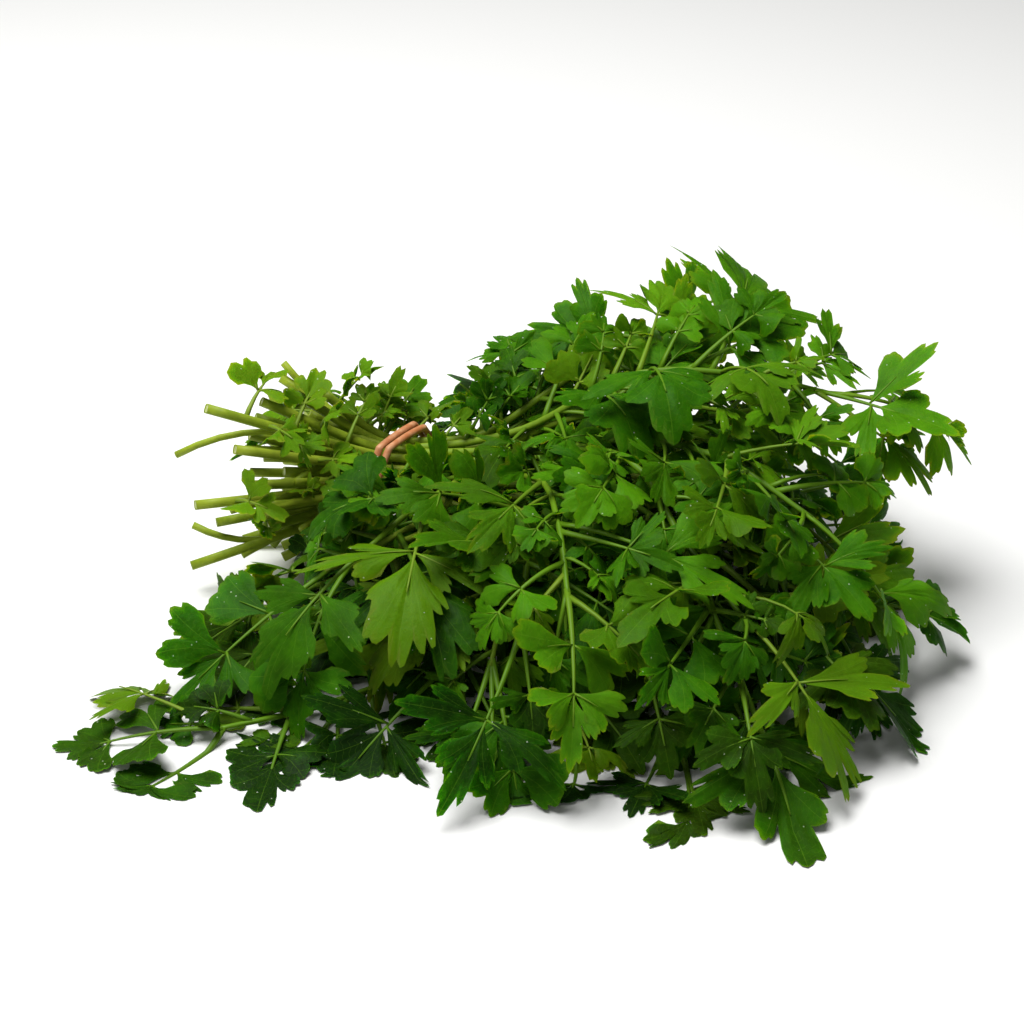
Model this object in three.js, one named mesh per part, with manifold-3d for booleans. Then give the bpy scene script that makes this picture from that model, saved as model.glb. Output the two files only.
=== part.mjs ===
// A bunch of fresh flat-leaved parsley, lying on its side and tied with a doubled rubber band.
//
// Millimetres, +Z up. The cut ends lie to the left, the stems pass through the tie and fan out
// over the surface in seven layers, and each one carries lobed leaves. The origin is on the
// surface, under the middle of the bunch. Every leafy stem is one solid of its own: a tapered
// tube with its arched leaf blades fused into it. Angles are degrees, counted from +X to +Y.

import * as THREE from 'three';
import { mergeVertices } from 'three/addons/utils/BufferGeometryUtils.js';
import Module from 'manifold-3d';

// ---- Driving dimensions -------------------------------------------------------------------

// The tie: its middle, and the heading of the stems that pass through it.
const TIE = new THREE.Vector3(-36, 36, 26);
const TIE_HEADING = -12;
const TIE_RUN = 8;
const TIE_SHARE = 1 / 3;

// The stems: packed in a hexagon at the tie, rows from the bottom up.
const STEMS_IN_ROW = [4, 5, 6, 7, 6, 5, 4];
const STEM_SPACING = 4;
const STEM_RADIUS = { cut: 1.75, tie: 1.6, tip: 0.85 };
const STEM_SIDES = 5;
const STEM_RINGS = [0, 0.6, 1, 2, 2.5, 3, 3.5, 4, 4.5, 5, 5.5, 6].map((knot) => knot / 6);
const MIDDLE_ROW = (STEMS_IN_ROW.length - 1) / 2;

// The cut ends: they splay behind the tie, sideways and upwards.
const CUT = {
  centre: new THREE.Vector3(-77, 33, 30),
  heading: 64,
  splaySideways: 2.6,
  splayUpwards: 2.6,
  lengthSpread: 0.6,
  stray: 2,
};

// The fan of foliage round the tie: heading, reach, height of its crest, height of its edge.
const FAN = [
  { heading: -128, reach: 56, crest: 34, crestPlace: 0.5, edge: 5 },
  { heading: -110, reach: 92, crest: 44, crestPlace: 0.5, edge: 5 },
  { heading: -80, reach: 120, crest: 58, crestPlace: 0.5, edge: 5 },
  { heading: -57, reach: 162, crest: 68, crestPlace: 0.5, edge: 6 },
  { heading: -36, reach: 188, crest: 74, crestPlace: 0.55, edge: 14 },
  { heading: -12, reach: 150, crest: 78, crestPlace: 0.62, edge: 44 },
  { heading: 4, reach: 158, crest: 80, crestPlace: 0.68, edge: 60 },
  { heading: 24, reach: 118, crest: 62, crestPlace: 0.7, edge: 42 },
  { heading: 46, reach: 66, crest: 42, crestPlace: 0.6, edge: 18 },
];

// The outermost headings of the stems of the bottom row and of the top row.
const FAN_EDGES = { bottom: [-112, 42], top: [-88, 14] };

// Stems that stray from the fan: by stem number, heading, length beyond the tie and tip height.
const STRAYS = {
  1: { heading: -112, length: 112, tipHeight: 4 },
  31: { heading: -28 },
  35: { heading: -49, length: 155, tipHeight: 12 },
  36: { heading: -6, length: 130, tipHeight: 60 },
};

// Leaves that lie in a way of their own: by stem number, for the leaf at the stem's tip.
const TIP_LEAVES = {
  1: { heading: -172, pitch: -2, form: 0, length: 50 },
  35: { heading: -72, pitch: -14, form: 3, length: 47 },
  36: { heading: -4, pitch: 4, form: 0, length: 52 },
};

// How the stems run through the pile: the pile's height at the tie, the foliage over and beyond
// them, and where along its way a stem turns from the tie's heading to its own.
const FAN_ROOT_HEIGHT = 40;
const STEM_COVER = 9;
const STEM_FLOOR = 1.25;
const TIP_ALLOWANCE = 34;
const LAYER_SHORTENING = 0.34;
const TURN_PLACES = [0.24, 0.5, 0.76, 1];
const TURN_END = 0.9;
const SETTLED_AT = 0.42;
const HEADING_SPREAD = 8;
const EVEN_SPREAD = 0.76;

// The leaves. Lengths run from the stem to the leaf's tip.
const LEAF_LENGTH = 54;
const LEAF_THICKNESS = 0.7;
const STALK_WIDTH = 2;
const LEAF_PLACES = [0.46, 0.64, 0.81, 0.985];
const LOW_ROWS = 2;
const HIGH_ROWS = 5;
const LEAF_TRIES = 90;
const WIDE_TRIES = 30;
const ROOM = 0.35;
const FLOOR_CLEARANCE = 0.12;
const INWARD_FROM = [-92, 14];

// How the leaves lie: a least amount and the range of the draw over it, or the middle of a draw
// and its width for the early and the late tries.
const LEAF_LIE = {
  placeRange: 0.07,
  branchAngle: 50,
  turn: 50,
  wishedTurn: [8, 28],
  tipPitch: 5,
  sidePitch: 16,
  pitch: [12, 38],
  lowPitchShare: 0.35,
  roll: [44, 84],
  wishedRoll: [10, 50],
  bend: [15, 50],
  fold: [0.05, 0.25],
  size: [0.82, 0.36],
  smallestTry: 0.7,
};

// The ridge of the pile, where the leaves turn their faces to the front.
const RIDGE = { heading: 27, from: -30, to: 10, lean: 0.7 };
const OUTWARD_LEAN = [0.2, 0.45];

// The rubber band: two strands of one endless loop, pulled askew.
const BAND = { radius: 1.15, strandGap: 3.4, crossLift: 1.25, skew: 22, sides: 5, steps: 9 };
const BAND_CLEARANCE = 1.35;
const BAND_RINGS = 60;

// Seeds of the random draws: for the stems, for the leaves' forms and for where the leaves lie.
const STEM_SEED = 8;
const LEAF_SEED = 2;
const TRY_SEED = 3;

// The surface that the bunch lies on, as a block under it.
const GROUND = { width: 600, depth: 20 };

const LEAF_GREEN = new THREE.MeshStandardMaterial({ color: 0x4a8428, roughness: 0.6 });
const BAND_TAN = new THREE.MeshStandardMaterial({ color: 0xc07a4a, roughness: 0.5 });

// ---- Small helpers ------------------------------------------------------------------------

const wasm = await Module();
wasm.setup();

const UP = new THREE.Vector3(0, 0, 1);
const radians = THREE.MathUtils.degToRad;
const mix = THREE.MathUtils.lerp;

/** A level unit vector at a heading. */
function headingVector(degrees) {
  return new THREE.Vector3(Math.cos(radians(degrees)), Math.sin(radians(degrees)), 0);
}

/** A least amount plus a share of the range over it. */
function drawn([least, range], share) {
  return least + range * share;
}

/** A repeatable source of numbers from 0 to 1, its own for every set of whole-number keys. */
function seeded(...keys) {
  let state = 0x2545f491;
  for (const key of keys) {
    state = Math.imul(state ^ (key + 0x9e37), 0x85ebca6b);
    state = Math.imul(state ^ (state >>> 15), 0xc2b2ae35);
  }
  return () => {
    state = (state + 0x6d2b79f5) | 0;
    let mixed = Math.imul(state ^ (state >>> 15), state | 1);
    mixed ^= mixed + Math.imul(mixed ^ (mixed >>> 7), mixed | 61);
    return ((mixed ^ (mixed >>> 14)) >>> 0) / 4294967296;
  };
}

/** A manifold solid from a closed geometry. */
function solidOf(geometry) {
  geometry.deleteAttribute('normal');
  geometry.deleteAttribute('uv');
  const merged = mergeVertices(geometry, 1e-4);
  return new wasm.Manifold(new wasm.Mesh({
    numProp: 3,
    vertProperties: new Float32Array(merged.attributes.position.array),
    triVerts: new Uint32Array(merged.index.array),
  }));
}

/** A geometry from a manifold solid. */
function geometryOf(solid) {
  const mesh = solid.getMesh();
  const geometry = new THREE.BufferGeometry();
  geometry.setAttribute('position', new THREE.BufferAttribute(mesh.vertProperties, 3));
  geometry.setIndex(new THREE.BufferAttribute(mesh.triVerts, 1));
  return geometry;
}

/** A closed geometry from a list of points and a list of triangles. */
function geometryFrom(points, triangles) {
  const geometry = new THREE.BufferGeometry();
  geometry.setFromPoints(points);
  geometry.setIndex(triangles);
  return geometry;
}

/** A tapered tube through rings of a curve. Across is level ground for its sections to turn on. */
function tube(curve, places, sides, radiusAt, across) {
  const closed = curve.closed === true;
  const points = [];
  for (const place of places) {
    const middle = curve.getPoint(place);
    const radius = radiusAt(place);
    const tangent = curve.getTangent(place);
    const sideways = new THREE.Vector3().crossVectors(tangent, across).normalize();
    const upwards = new THREE.Vector3().crossVectors(sideways, tangent);
    for (let side = 0; side < sides; side += 1) {
      const angle = (2 * Math.PI * side) / sides;
      points.push(middle.clone()
        .addScaledVector(sideways, radius * Math.sin(angle))
        .addScaledVector(upwards, -radius * Math.cos(angle)));
    }
  }
  const triangles = [];
  const rings = places.length;
  for (let ring = 0; ring < (closed ? rings : rings - 1); ring += 1) {
    for (let side = 0; side < sides; side += 1) {
      const a = ring * sides + side;
      const b = ring * sides + ((side + 1) % sides);
      const c = ((ring + 1) % rings) * sides + side;
      const d = ((ring + 1) % rings) * sides + ((side + 1) % sides);
      triangles.push(a, d, b, a, c, d);
    }
  }
  if (!closed) {
    const last = (rings - 1) * sides;
    for (let side = 1; side < sides - 1; side += 1) {
      triangles.push(0, side, side + 1, last, last + side + 1, last + side);
    }
  }
  return geometryFrom(points, triangles);
}

// ---- The fan of stems ---------------------------------------------------------------------

/** The fan's reach, crest and edge at a heading. */
function fanAt(heading) {
  const next = Math.max(1, FAN.findIndex((entry) => entry.heading >= heading));
  const [from, to] = heading >= FAN.at(-1).heading ? FAN.slice(-2) : [FAN[next - 1], FAN[next]];
  const share = (heading - from.heading) / (to.heading - from.heading);
  return {
    reach: mix(from.reach, to.reach, share),
    crest: mix(from.crest, to.crest, share),
    crestPlace: mix(from.crestPlace, to.crestPlace, share),
    edge: mix(from.edge, to.edge, share),
  };
}

/** The height of the top of the pile at a share of the reach. */
function pileHeight(fan, share) {
  if (share < fan.crestPlace) {
    return mix(FAN_ROOT_HEIGHT, fan.crest, Math.sin((Math.PI / 2) * (share / fan.crestPlace)));
  }
  const beyond = Math.min(1, (share - fan.crestPlace) / (1 - fan.crestPlace));
  return mix(fan.crest, fan.edge, 1 - Math.cos((Math.PI / 2) * beyond));
}

/** One stem's place in the bunch: its row, its place in the row, its heading and its layer. */
function stemPlaces() {
  const places = [];
  STEMS_IN_ROW.forEach((count, row) => {
    for (let place = 0; place < count; place += 1) {
      const random = seeded(STEM_SEED, row, place);
      const across = (2 * place) / (count - 1) - 1;
      const spread = EVEN_SPREAD * across + (1 - EVEN_SPREAD) * across ** 3;
      const layer = row / (STEMS_IN_ROW.length - 1);
      const first = mix(FAN_EDGES.bottom[0], FAN_EDGES.top[0], layer);
      const last = mix(FAN_EDGES.bottom[1], FAN_EDGES.top[1], layer);
      places.push({
        number: places.length + 1,
        row,
        sideways: (place - (count - 1) / 2) * STEM_SPACING,
        upwards: (row - MIDDLE_ROW) * STEM_SPACING * Math.cos(radians(30)),
        layer,
        heading: mix(first, last, (spread + 1) / 2) + HEADING_SPREAD * (random() - 0.5),
        shortening: random(),
        trim: random() - 0.5,
        splay: [random() - 0.5, random() - 0.5],
        ...STRAYS[places.length + 1],
      });
    }
  });
  return places;
}

/** The curve of a stem's middle, from its cut end through the tie to its tip. */
function stemCurve(stem) {
  const splay = headingVector(CUT.heading);
  const cutEnd = CUT.centre.clone()
    .addScaledVector(splay, stem.sideways * CUT.splaySideways + stem.splay[0] * CUT.stray)
    .addScaledVector(UP, stem.upwards * CUT.splayUpwards + stem.splay[1] * CUT.stray);
  const sideways = headingVector(TIE_HEADING + 90).multiplyScalar(stem.sideways);
  const atTie = TIE.clone().add(sideways).addScaledVector(UP, stem.upwards);
  cutEnd.lerp(atTie, stem.trim * CUT.lengthSpread);
  cutEnd.z = Math.max(cutEnd.z, STEM_FLOOR);
  const run = headingVector(TIE_HEADING).multiplyScalar(TIE_RUN);
  const points = [cutEnd, atTie.clone().sub(run), atTie.clone().add(run)];
  const fan = fanAt(stem.heading);
  const length = stem.length
    ?? (fan.reach - TIP_ALLOWANCE) * (1 - LAYER_SHORTENING * stem.layer * stem.shortening);
  for (const place of TURN_PLACES) {
    const turned = Math.min(1, place / TURN_END);
    const heading = mix(TIE_HEADING, stem.heading, turned);
    const share = (place * length) / fan.reach;
    const layered = STEM_FLOOR + stem.layer * (pileHeight(fan, share) - STEM_COVER);
    const height = mix(layered, stem.tipHeight ?? layered, place ** 3);
    const settled = THREE.MathUtils.smoothstep(place, 0, SETTLED_AT);
    const point = TIE.clone()
      .addScaledVector(headingVector(heading + 90), stem.sideways)
      .addScaledVector(headingVector(heading), TIE_RUN + place * (length - TIE_RUN));
    point.z = mix(atTie.z, height, settled);
    points.push(point);
  }
  return new THREE.CatmullRomCurve3(points, false, 'catmullrom', 0.5);
}

/** A stem's radius along its curve. */
function stemRadius(share) {
  return share < TIE_SHARE
    ? mix(STEM_RADIUS.cut, STEM_RADIUS.tie, share / TIE_SHARE)
    : mix(STEM_RADIUS.tie, STEM_RADIUS.tip, (share - TIE_SHARE) / (1 - TIE_SHARE));
}

// ---- The leaves ---------------------------------------------------------------------------

// A leaf's form: where its pairs of side leaflets leave the rib, the teeth and length of a side
// leaflet, and the teeth, the root and the spread of the last one.
const FORMS = [
  { pairs: [0.34, 0.6], sideTeeth: 2, sideLength: 0.42, endTeeth: 3, endRoot: 0.63, endSpread: 26 },
  { pairs: [0.5], sideTeeth: 3, sideLength: 0.46, endTeeth: 3, endRoot: 0.54, endSpread: 26 },
  { pairs: [0.4], sideTeeth: 3, sideLength: 0.5, endTeeth: 5, endRoot: 0.46, endSpread: 33 },
  { pairs: [0.14], sideTeeth: 3, sideLength: 0.7, endTeeth: 3, endRoot: 0.24, endSpread: 26 },
];
const COMMON_FORMS = 3;

// How the leaflets vary: headings from the rib, lengths, edges, tilts and curls.
const LEAFLET = {
  rootRange: 0.03,
  heading: [60, 14],
  headingPerPair: 8,
  length: [0.86, 0.22],
  shorterPerPair: 0.14,
  spread: 19,
  tilt: [-0.36, 0.9],
  curl: 0.6,
  endCurl: 0.3,
  footSpread: 0.07,
};
const TEETH = { notch: 0.7, roundness: 0.2, angleRange: 3, reach: [0.94, 0.12] };

/** The fan of a leaflet's edge, as [angle, share of its length], from the stem side to the tip side. */
function leafletEdge(teeth, spread, random) {
  const edge = [];
  for (let mark = 0; mark < 2 * teeth - 1; mark += 1) {
    const place = mark / (teeth - 1) - 1;
    const reach = mark % 2 === 0 ? 1 - TEETH.roundness * place * place : TEETH.notch;
    const angle = place * spread + TEETH.angleRange * (random() - 0.5);
    edge.push([angle, reach * drawn(TEETH.reach, random())]);
  }
  return edge;
}

/** The leaflets of a leaf: where each leaves the rib, its heading, length, edge, tilt and curl. */
function leafletsOf(form, length, random) {
  const leaflets = [];
  form.pairs.forEach((place, pair) => {
    for (const side of [-1, 1]) {
      leaflets.push({
        side,
        root: (place + LEAFLET.rootRange * random()) * length,
        heading: side * (drawn(LEAFLET.heading, random()) - LEAFLET.headingPerPair * pair),
        length: form.sideLength * length * drawn(LEAFLET.length, random())
          * (1 - LEAFLET.shorterPerPair * pair),
        edge: leafletEdge(form.sideTeeth, LEAFLET.spread, random),
        tilt: drawn(LEAFLET.tilt, random()),
        curl: LEAFLET.curl * random(),
      });
    }
  });
  const root = form.endRoot * length;
  leaflets.push({
    side: 0,
    root,
    heading: 0,
    length: length - root,
    edge: leafletEdge(form.endTeeth, form.endSpread, random),
    tilt: 0,
    curl: LEAFLET.endCurl * random(),
  });
  return leaflets;
}

/** The leaf's flat outline, as points with a place along the rib, across it, and along a leaflet. */
function leafOutline(leaf) {
  const half = STALK_WIDTH / 2;
  const outline = [];
  const edgeOf = (leaflet) => leaflet.edge.map(([angle, share]) => {
    const along = share * leaflet.length;
    const turn = leaflet.side === 0
      ? radians(angle)
      : radians(leaflet.heading) - leaflet.side * radians(angle);
    return {
      u: leaflet.root + along * Math.cos(turn),
      w: along * Math.sin(turn),
      along,
      leaflet,
    };
  });
  const flank = (side) => {
    const points = [{ u: 0, w: side * half, along: 0 }];
    for (const leaflet of leaf.leaflets.filter((entry) => entry.side === side)) {
      const spread = LEAFLET.footSpread * leaflet.length;
      points.push({ u: leaflet.root - spread, w: side * half, along: 0 });
      points.push(...edgeOf(leaflet));
      points.push({ u: leaflet.root + spread + half, w: side * half, along: 0 });
    }
    return points;
  };
  const last = leaf.leaflets.at(-1);
  outline.push(...flank(-1));
  outline.push(...edgeOf(last));
  outline.push(...flank(1).reverse());
  return outline;
}

/** A point of the bent blade. Lift is its height over the middle of the blade's thickness. */
function bladePoint(leaf, mark, lift) {
  const angle = (leaf.bend * mark.u) / leaf.length;
  const radius = leaf.length / leaf.bend;
  const raised = leaf.fold * Math.abs(mark.w)
    + (mark.leaflet ? mark.leaflet.tilt * mark.along
      - (mark.leaflet.curl * mark.along ** 2) / mark.leaflet.length : 0);
  const slope = leaf.fold * Math.sign(mark.w);
  const lean = Math.hypot(1, slope);
  const forward = radius * Math.sin(angle) + (raised + lift / lean) * Math.sin(angle);
  const upward = radius * (Math.cos(angle) - 1) + (raised + lift / lean) * Math.cos(angle);
  const point = leaf.root.clone()
    .addScaledVector(leaf.forward, forward)
    .addScaledVector(leaf.side, mark.w - (lift * slope) / lean)
    .addScaledVector(leaf.up, upward);
  const floor = FLOOR_CLEARANCE + (lift > 0 ? LEAF_THICKNESS : 0);
  point.z = Math.max(point.z, floor);
  return point;
}

/** The closed blade of a leaf. Extra thickness is used to keep room round it. */
function bladeGeometry(leaf, room) {
  const outline = leafOutline(leaf);
  const flat = outline.map((mark) => new THREE.Vector2(mark.u, mark.w));
  const faces = THREE.ShapeUtils.triangulateShape(flat, []);
  const lift = LEAF_THICKNESS / 2 + room;
  const upper = outline.map((mark) => bladePoint(leaf, mark, lift));
  const lower = outline.map((mark) => bladePoint(leaf, mark, -lift));
  const count = outline.length;
  const triangles = [];
  for (const [a, b, c] of faces) {
    triangles.push(a, b, c, count + a, count + c, count + b);
  }
  for (let place = 0; place < count; place += 1) {
    const next = (place + 1) % count;
    triangles.push(place, count + place, count + next, place, count + next, next);
  }
  return geometryFrom([...upper, ...lower], triangles);
}

/** The pile's outward direction over a point: up over the middle, outwards at the edges. */
function outwardAt(point) {
  const away = new THREE.Vector3(point.x - TIE.x, point.y - TIE.y, 0);
  const heading = THREE.MathUtils.radToDeg(Math.atan2(away.y, away.x));
  const fan = fanAt(THREE.MathUtils.clamp(heading, FAN[0].heading, FAN.at(-1).heading));
  const share = away.length() / fan.reach;
  const ridge = THREE.MathUtils.smoothstep(heading, RIDGE.from, RIDGE.to)
    * (heading < RIDGE.heading ? -1 : 1);
  return away.normalize().multiplyScalar(drawn(OUTWARD_LEAN, share ** 2))
    .addScaledVector(headingVector(heading + 90), RIDGE.lean * ridge)
    .addScaledVector(UP, 1)
    .normalize();
}

/** One try at a leaf: where it leaves its stem, how it lies, and its leaflets. */
function leafTry(stem, curve, slot, attempt) {
  const shape = seeded(LEAF_SEED, stem.number, slot);
  const random = seeded(TRY_SEED, stem.number, slot, attempt);
  const atTip = slot === LEAF_PLACES.length - 1;
  const place = LEAF_PLACES[slot] + (atTip ? 0 : LEAF_LIE.placeRange * (random() - 0.5));
  const root = curve.getPointAt(place);
  const along = curve.getTangentAt(place);
  const outward = outwardAt(root);
  const alternate = (stem.number + slot) % 2 === 0 ? 1 : -1;
  const side = stem.heading < INWARD_FROM[0] ? 1 : (stem.heading > INWARD_FROM[1] ? -1 : alternate);
  const late = Math.min(1, attempt / WIDE_TRIES);
  const wish = atTip ? TIP_LEAVES[stem.number] : undefined;
  if (wish) {
    along.copy(headingVector(wish.heading));
    outward.copy(UP);
  }
  const turn = (wish ? mix(...LEAF_LIE.wishedTurn, late) : LEAF_LIE.turn) * (random() - 0.5)
    + (atTip ? 0 : side * LEAF_LIE.branchAngle);
  const pitch = (wish?.pitch ?? (atTip ? LEAF_LIE.tipPitch : LEAF_LIE.sidePitch))
    + mix(...LEAF_LIE.pitch, late) * (random() - LEAF_LIE.lowPitchShare);
  const roll = mix(...(wish ? LEAF_LIE.wishedRoll : LEAF_LIE.roll), late) * (random() - 0.5);
  const across = new THREE.Vector3().crossVectors(outward, along).normalize();
  const level = new THREE.Vector3().crossVectors(across, outward);
  const forward = level
    .applyAxisAngle(outward, radians(turn))
    .applyAxisAngle(across.clone().applyAxisAngle(outward, radians(turn)), -radians(pitch));
  const leafSide = new THREE.Vector3().crossVectors(outward, forward).normalize()
    .applyAxisAngle(forward, radians(roll));
  const form = FORMS[wish?.form ?? Math.floor(COMMON_FORMS * shape())];
  const length = (wish?.length ?? LEAF_LENGTH * drawn(LEAF_LIE.size, shape()))
    * mix(1, LEAF_LIE.smallestTry, attempt / LEAF_TRIES);
  return {
    root,
    forward,
    side: leafSide,
    up: new THREE.Vector3().crossVectors(forward, leafSide),
    length,
    bend: radians(drawn(LEAF_LIE.bend, random())),
    fold: drawn(LEAF_LIE.fold, shape()),
    leaflets: leafletsOf(form, length, shape),
  };
}

/** The boxes of two solids meet. */
function boxesMeet(a, b) {
  return [0, 1, 2].every((axis) => a.min[axis] <= b.max[axis] && b.min[axis] <= a.max[axis]);
}

/** The candidate touches one of the others. */
function touches(candidate, others) {
  const box = candidate.boundingBox();
  return others.some((other) => boxesMeet(box, other.box)
    && candidate.intersect(other.solid).volume() > 0);
}

// ---- Building -----------------------------------------------------------------------------

/** Every stem with its curve, its tube and, once they are placed, its leaves. */
function growStems() {
  return stemPlaces().map((stem) => {
    const curve = stemCurve(stem);
    const solid = solidOf(tube(curve, STEM_RINGS, STEM_SIDES, stemRadius, UP));
    return { stem, curve, solid, leaves: [] };
  });
}

/** Puts leaves on the stems, each where it is clear of everything but its own stem. */
function growLeaves(grown) {
  const taken = [band, ...grown.map(({ solid }) => solid)]
    .map((solid) => ({ solid, box: solid.boundingBox() }));
  for (let slot = LEAF_PLACES.length - 1; slot >= 0; slot -= 1) {
    for (let owner = grown.length - 1; owner >= 0; owner -= 1) {
      const { stem, curve, solid: ownTube, leaves } = grown[owner];
      if ((stem.row < LOW_ROWS && slot % 2 === 0) || (stem.row < HIGH_ROWS && slot === 0)) {
        continue;
      }
      const others = taken.filter((entry) => entry.solid !== ownTube);
      for (let attempt = 0; attempt < LEAF_TRIES; attempt += 1) {
        const leaf = leafTry(stem, curve, slot, attempt);
        const roomy = solidOf(bladeGeometry(leaf, ROOM));
        if (roomy.volume() > 0 && !touches(roomy, others)) {
          const solid = solidOf(bladeGeometry(leaf, 0));
          leaves.push(solid);
          taken.push({ solid, box: solid.boundingBox() });
          break;
        }
      }
    }
  }
}

/** The middle line of the rubber band: two turns round the stems, crossing over once. */
function bandCurve() {
  const rings = MIDDLE_ROW;
  const corner = rings * STEM_SPACING;
  const off = STEM_RADIUS.tie + BAND_CLEARANCE + BAND.radius;
  const stems = headingVector(TIE_HEADING);
  const across = headingVector(TIE_HEADING + 90);
  const points = [];
  const total = 2 * 6 * BAND.steps;
  for (let step = 0; step < total; step += 1) {
    const turn = step / BAND.steps;
    const from = radians(60 * Math.floor(turn));
    const to = from + radians(60);
    const share = turn - Math.floor(turn);
    const round = radians(30) * Math.sin(Math.PI * (share - 0.5));
    const facing = from + radians(30) + round;
    const place = (Math.sin(Math.PI * (share - 0.5)) + 1) / 2;
    const y = corner * mix(Math.cos(from), Math.cos(to), place) + off * Math.cos(facing);
    const z = corner * mix(Math.sin(from), Math.sin(to), place) + off * Math.sin(facing);
    const phase = (2 * Math.PI * step) / total;
    const lift = 1 + (BAND.crossLift * Math.sin(phase)) / Math.hypot(y, z);
    points.push(TIE.clone()
      .addScaledVector(across, y * lift)
      .addScaledVector(UP, z * lift)
      .addScaledVector(stems, (BAND.strandGap / 2) * Math.cos(phase) + y * Math.tan(radians(BAND.skew))));
  }
  return new THREE.CatmullRomCurve3(points, true, 'catmullrom', 0.5);
}

const grown = growStems();
const bandRings = Array.from({ length: BAND_RINGS }, (_, ring) => ring / BAND_RINGS);
const bandTube = tube(bandCurve(), bandRings, BAND.sides, () => BAND.radius, headingVector(TIE_HEADING));
const band = solidOf(bandTube);

growLeaves(grown);

// What dips under the surface is cut level, which gives the low stems the flats they rest on.
const below = new THREE.BoxGeometry(GROUND.width, GROUND.width, GROUND.depth);
const ground = solidOf(below.translate(0, 0, -GROUND.depth / 2));

const bunch = new THREE.Group();
for (const { stem, solid, leaves } of grown) {
  const whole = leaves.reduce((sum, leaf) => sum.add(leaf), solid).subtract(ground);
  const mesh = new THREE.Mesh(geometryOf(whole), LEAF_GREEN);
  mesh.name = `leafy_stem_${String(stem.number).padStart(2, '0')}`;
  bunch.add(mesh);
}
const bandMesh = new THREE.Mesh(geometryOf(band), BAND_TAN);
bandMesh.name = 'rubber_band';
bunch.add(bandMesh);

// The origin goes to the surface under the middle of the whole bunch.
const middle = new THREE.Box3().setFromObject(bunch).getCenter(new THREE.Vector3());
for (const mesh of bunch.children) {
  mesh.geometry.translate(-middle.x, -middle.y, 0);
}

export default bunch;
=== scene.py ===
"""Dresses the solids of a bunch of fresh flat-leaved parsley, tied with a doubled rubber band.

The stems, the leaves and the band follow the same growth rule as the solids that they replace,
in millimetres and degrees, and are then put in the frame in metres. Every leafy stem becomes one
finer piece: a ribbed stem with its cut end, the leaves of its solid with lobed leaflets, and more
leaves between them wherever there is room.
"""

import logging
import math
from bisect import bisect_right
from dataclasses import dataclass, field, replace
from enum import Enum, IntEnum
from itertools import pairwise
from typing import Callable, NamedTuple, Sequence

import bmesh
import bpy
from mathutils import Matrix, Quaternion, Vector
from mathutils.bvhtree import BVHTree
from mathutils.kdtree import KDTree

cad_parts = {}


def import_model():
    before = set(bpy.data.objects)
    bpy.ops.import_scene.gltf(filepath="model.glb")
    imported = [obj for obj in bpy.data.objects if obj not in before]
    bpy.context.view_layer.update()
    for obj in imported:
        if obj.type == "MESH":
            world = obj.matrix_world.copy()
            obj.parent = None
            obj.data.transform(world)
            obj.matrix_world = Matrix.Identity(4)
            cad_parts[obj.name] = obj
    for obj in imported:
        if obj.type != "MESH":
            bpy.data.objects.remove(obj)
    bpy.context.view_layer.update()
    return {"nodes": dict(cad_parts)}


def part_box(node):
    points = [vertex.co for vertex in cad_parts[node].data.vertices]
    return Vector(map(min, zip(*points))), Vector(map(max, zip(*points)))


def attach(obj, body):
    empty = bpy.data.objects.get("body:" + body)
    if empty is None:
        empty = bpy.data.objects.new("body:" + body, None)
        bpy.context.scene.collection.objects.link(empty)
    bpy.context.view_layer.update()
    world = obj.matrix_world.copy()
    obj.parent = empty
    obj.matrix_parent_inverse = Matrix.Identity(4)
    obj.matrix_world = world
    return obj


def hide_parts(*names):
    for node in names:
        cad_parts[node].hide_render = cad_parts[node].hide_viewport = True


LOG = logging.getLogger("parsley_bunch")
MM = 0.001
UP = Vector((0.0, 0.0, 1.0))


# ---- Small helpers ----


def mix(start: float, end: float, share: float) -> float:
    """The number at a share of the way from start to end."""
    return start + (end - start) * share


def clamp(value: float, low: float = 0.0, high: float = 1.0) -> float:
    """The value, kept between two limits."""
    return max(low, min(high, value))


def smoothstep(value: float, low: float, high: float) -> float:
    """A soft step from 0 at the low limit to 1 at the high one."""
    share = clamp((value - low) / (high - low))
    return share * share * (3 - 2 * share)


def level(degrees: float) -> Vector:
    """A level unit vector at a heading, counted from +X to +Y."""
    return Vector((math.cos(math.radians(degrees)), math.sin(math.radians(degrees)), 0.0))


def turned(vector: Vector, axis: Vector, degrees: float) -> Vector:
    """The vector, turned round an axis."""
    return Quaternion(axis, math.radians(degrees)) @ vector


def oval(sides: int, width: float, height: float) -> list[tuple[float, float]]:
    """The corners of an oval section.

    Args:
        sides: how many corners it has.
        width: half its width.
        height: half its height.

    Returns:
        The sideways and upwards distance of every corner from the middle.
    """
    turns = [math.tau * side / sides for side in range(sides)]
    return [(width * math.cos(turn), height * math.sin(turn)) for turn in turns]


def box_of(points: Sequence[Vector]) -> tuple[Vector, Vector]:
    """The box round some points.

    Args:
        points: the points.

    Returns:
        Its lowest and its highest corner.
    """
    low = Vector([min(point[axis] for point in points) for axis in range(3)])
    high = Vector([max(point[axis] for point in points) for axis in range(3)])
    return low, high


class Range(NamedTuple):
    """A least amount and the range of a draw over it."""

    least: float
    range: float

    def at(self, share: float) -> float:
        """The amount at a share of the range."""
        return self.least + self.range * share


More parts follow.
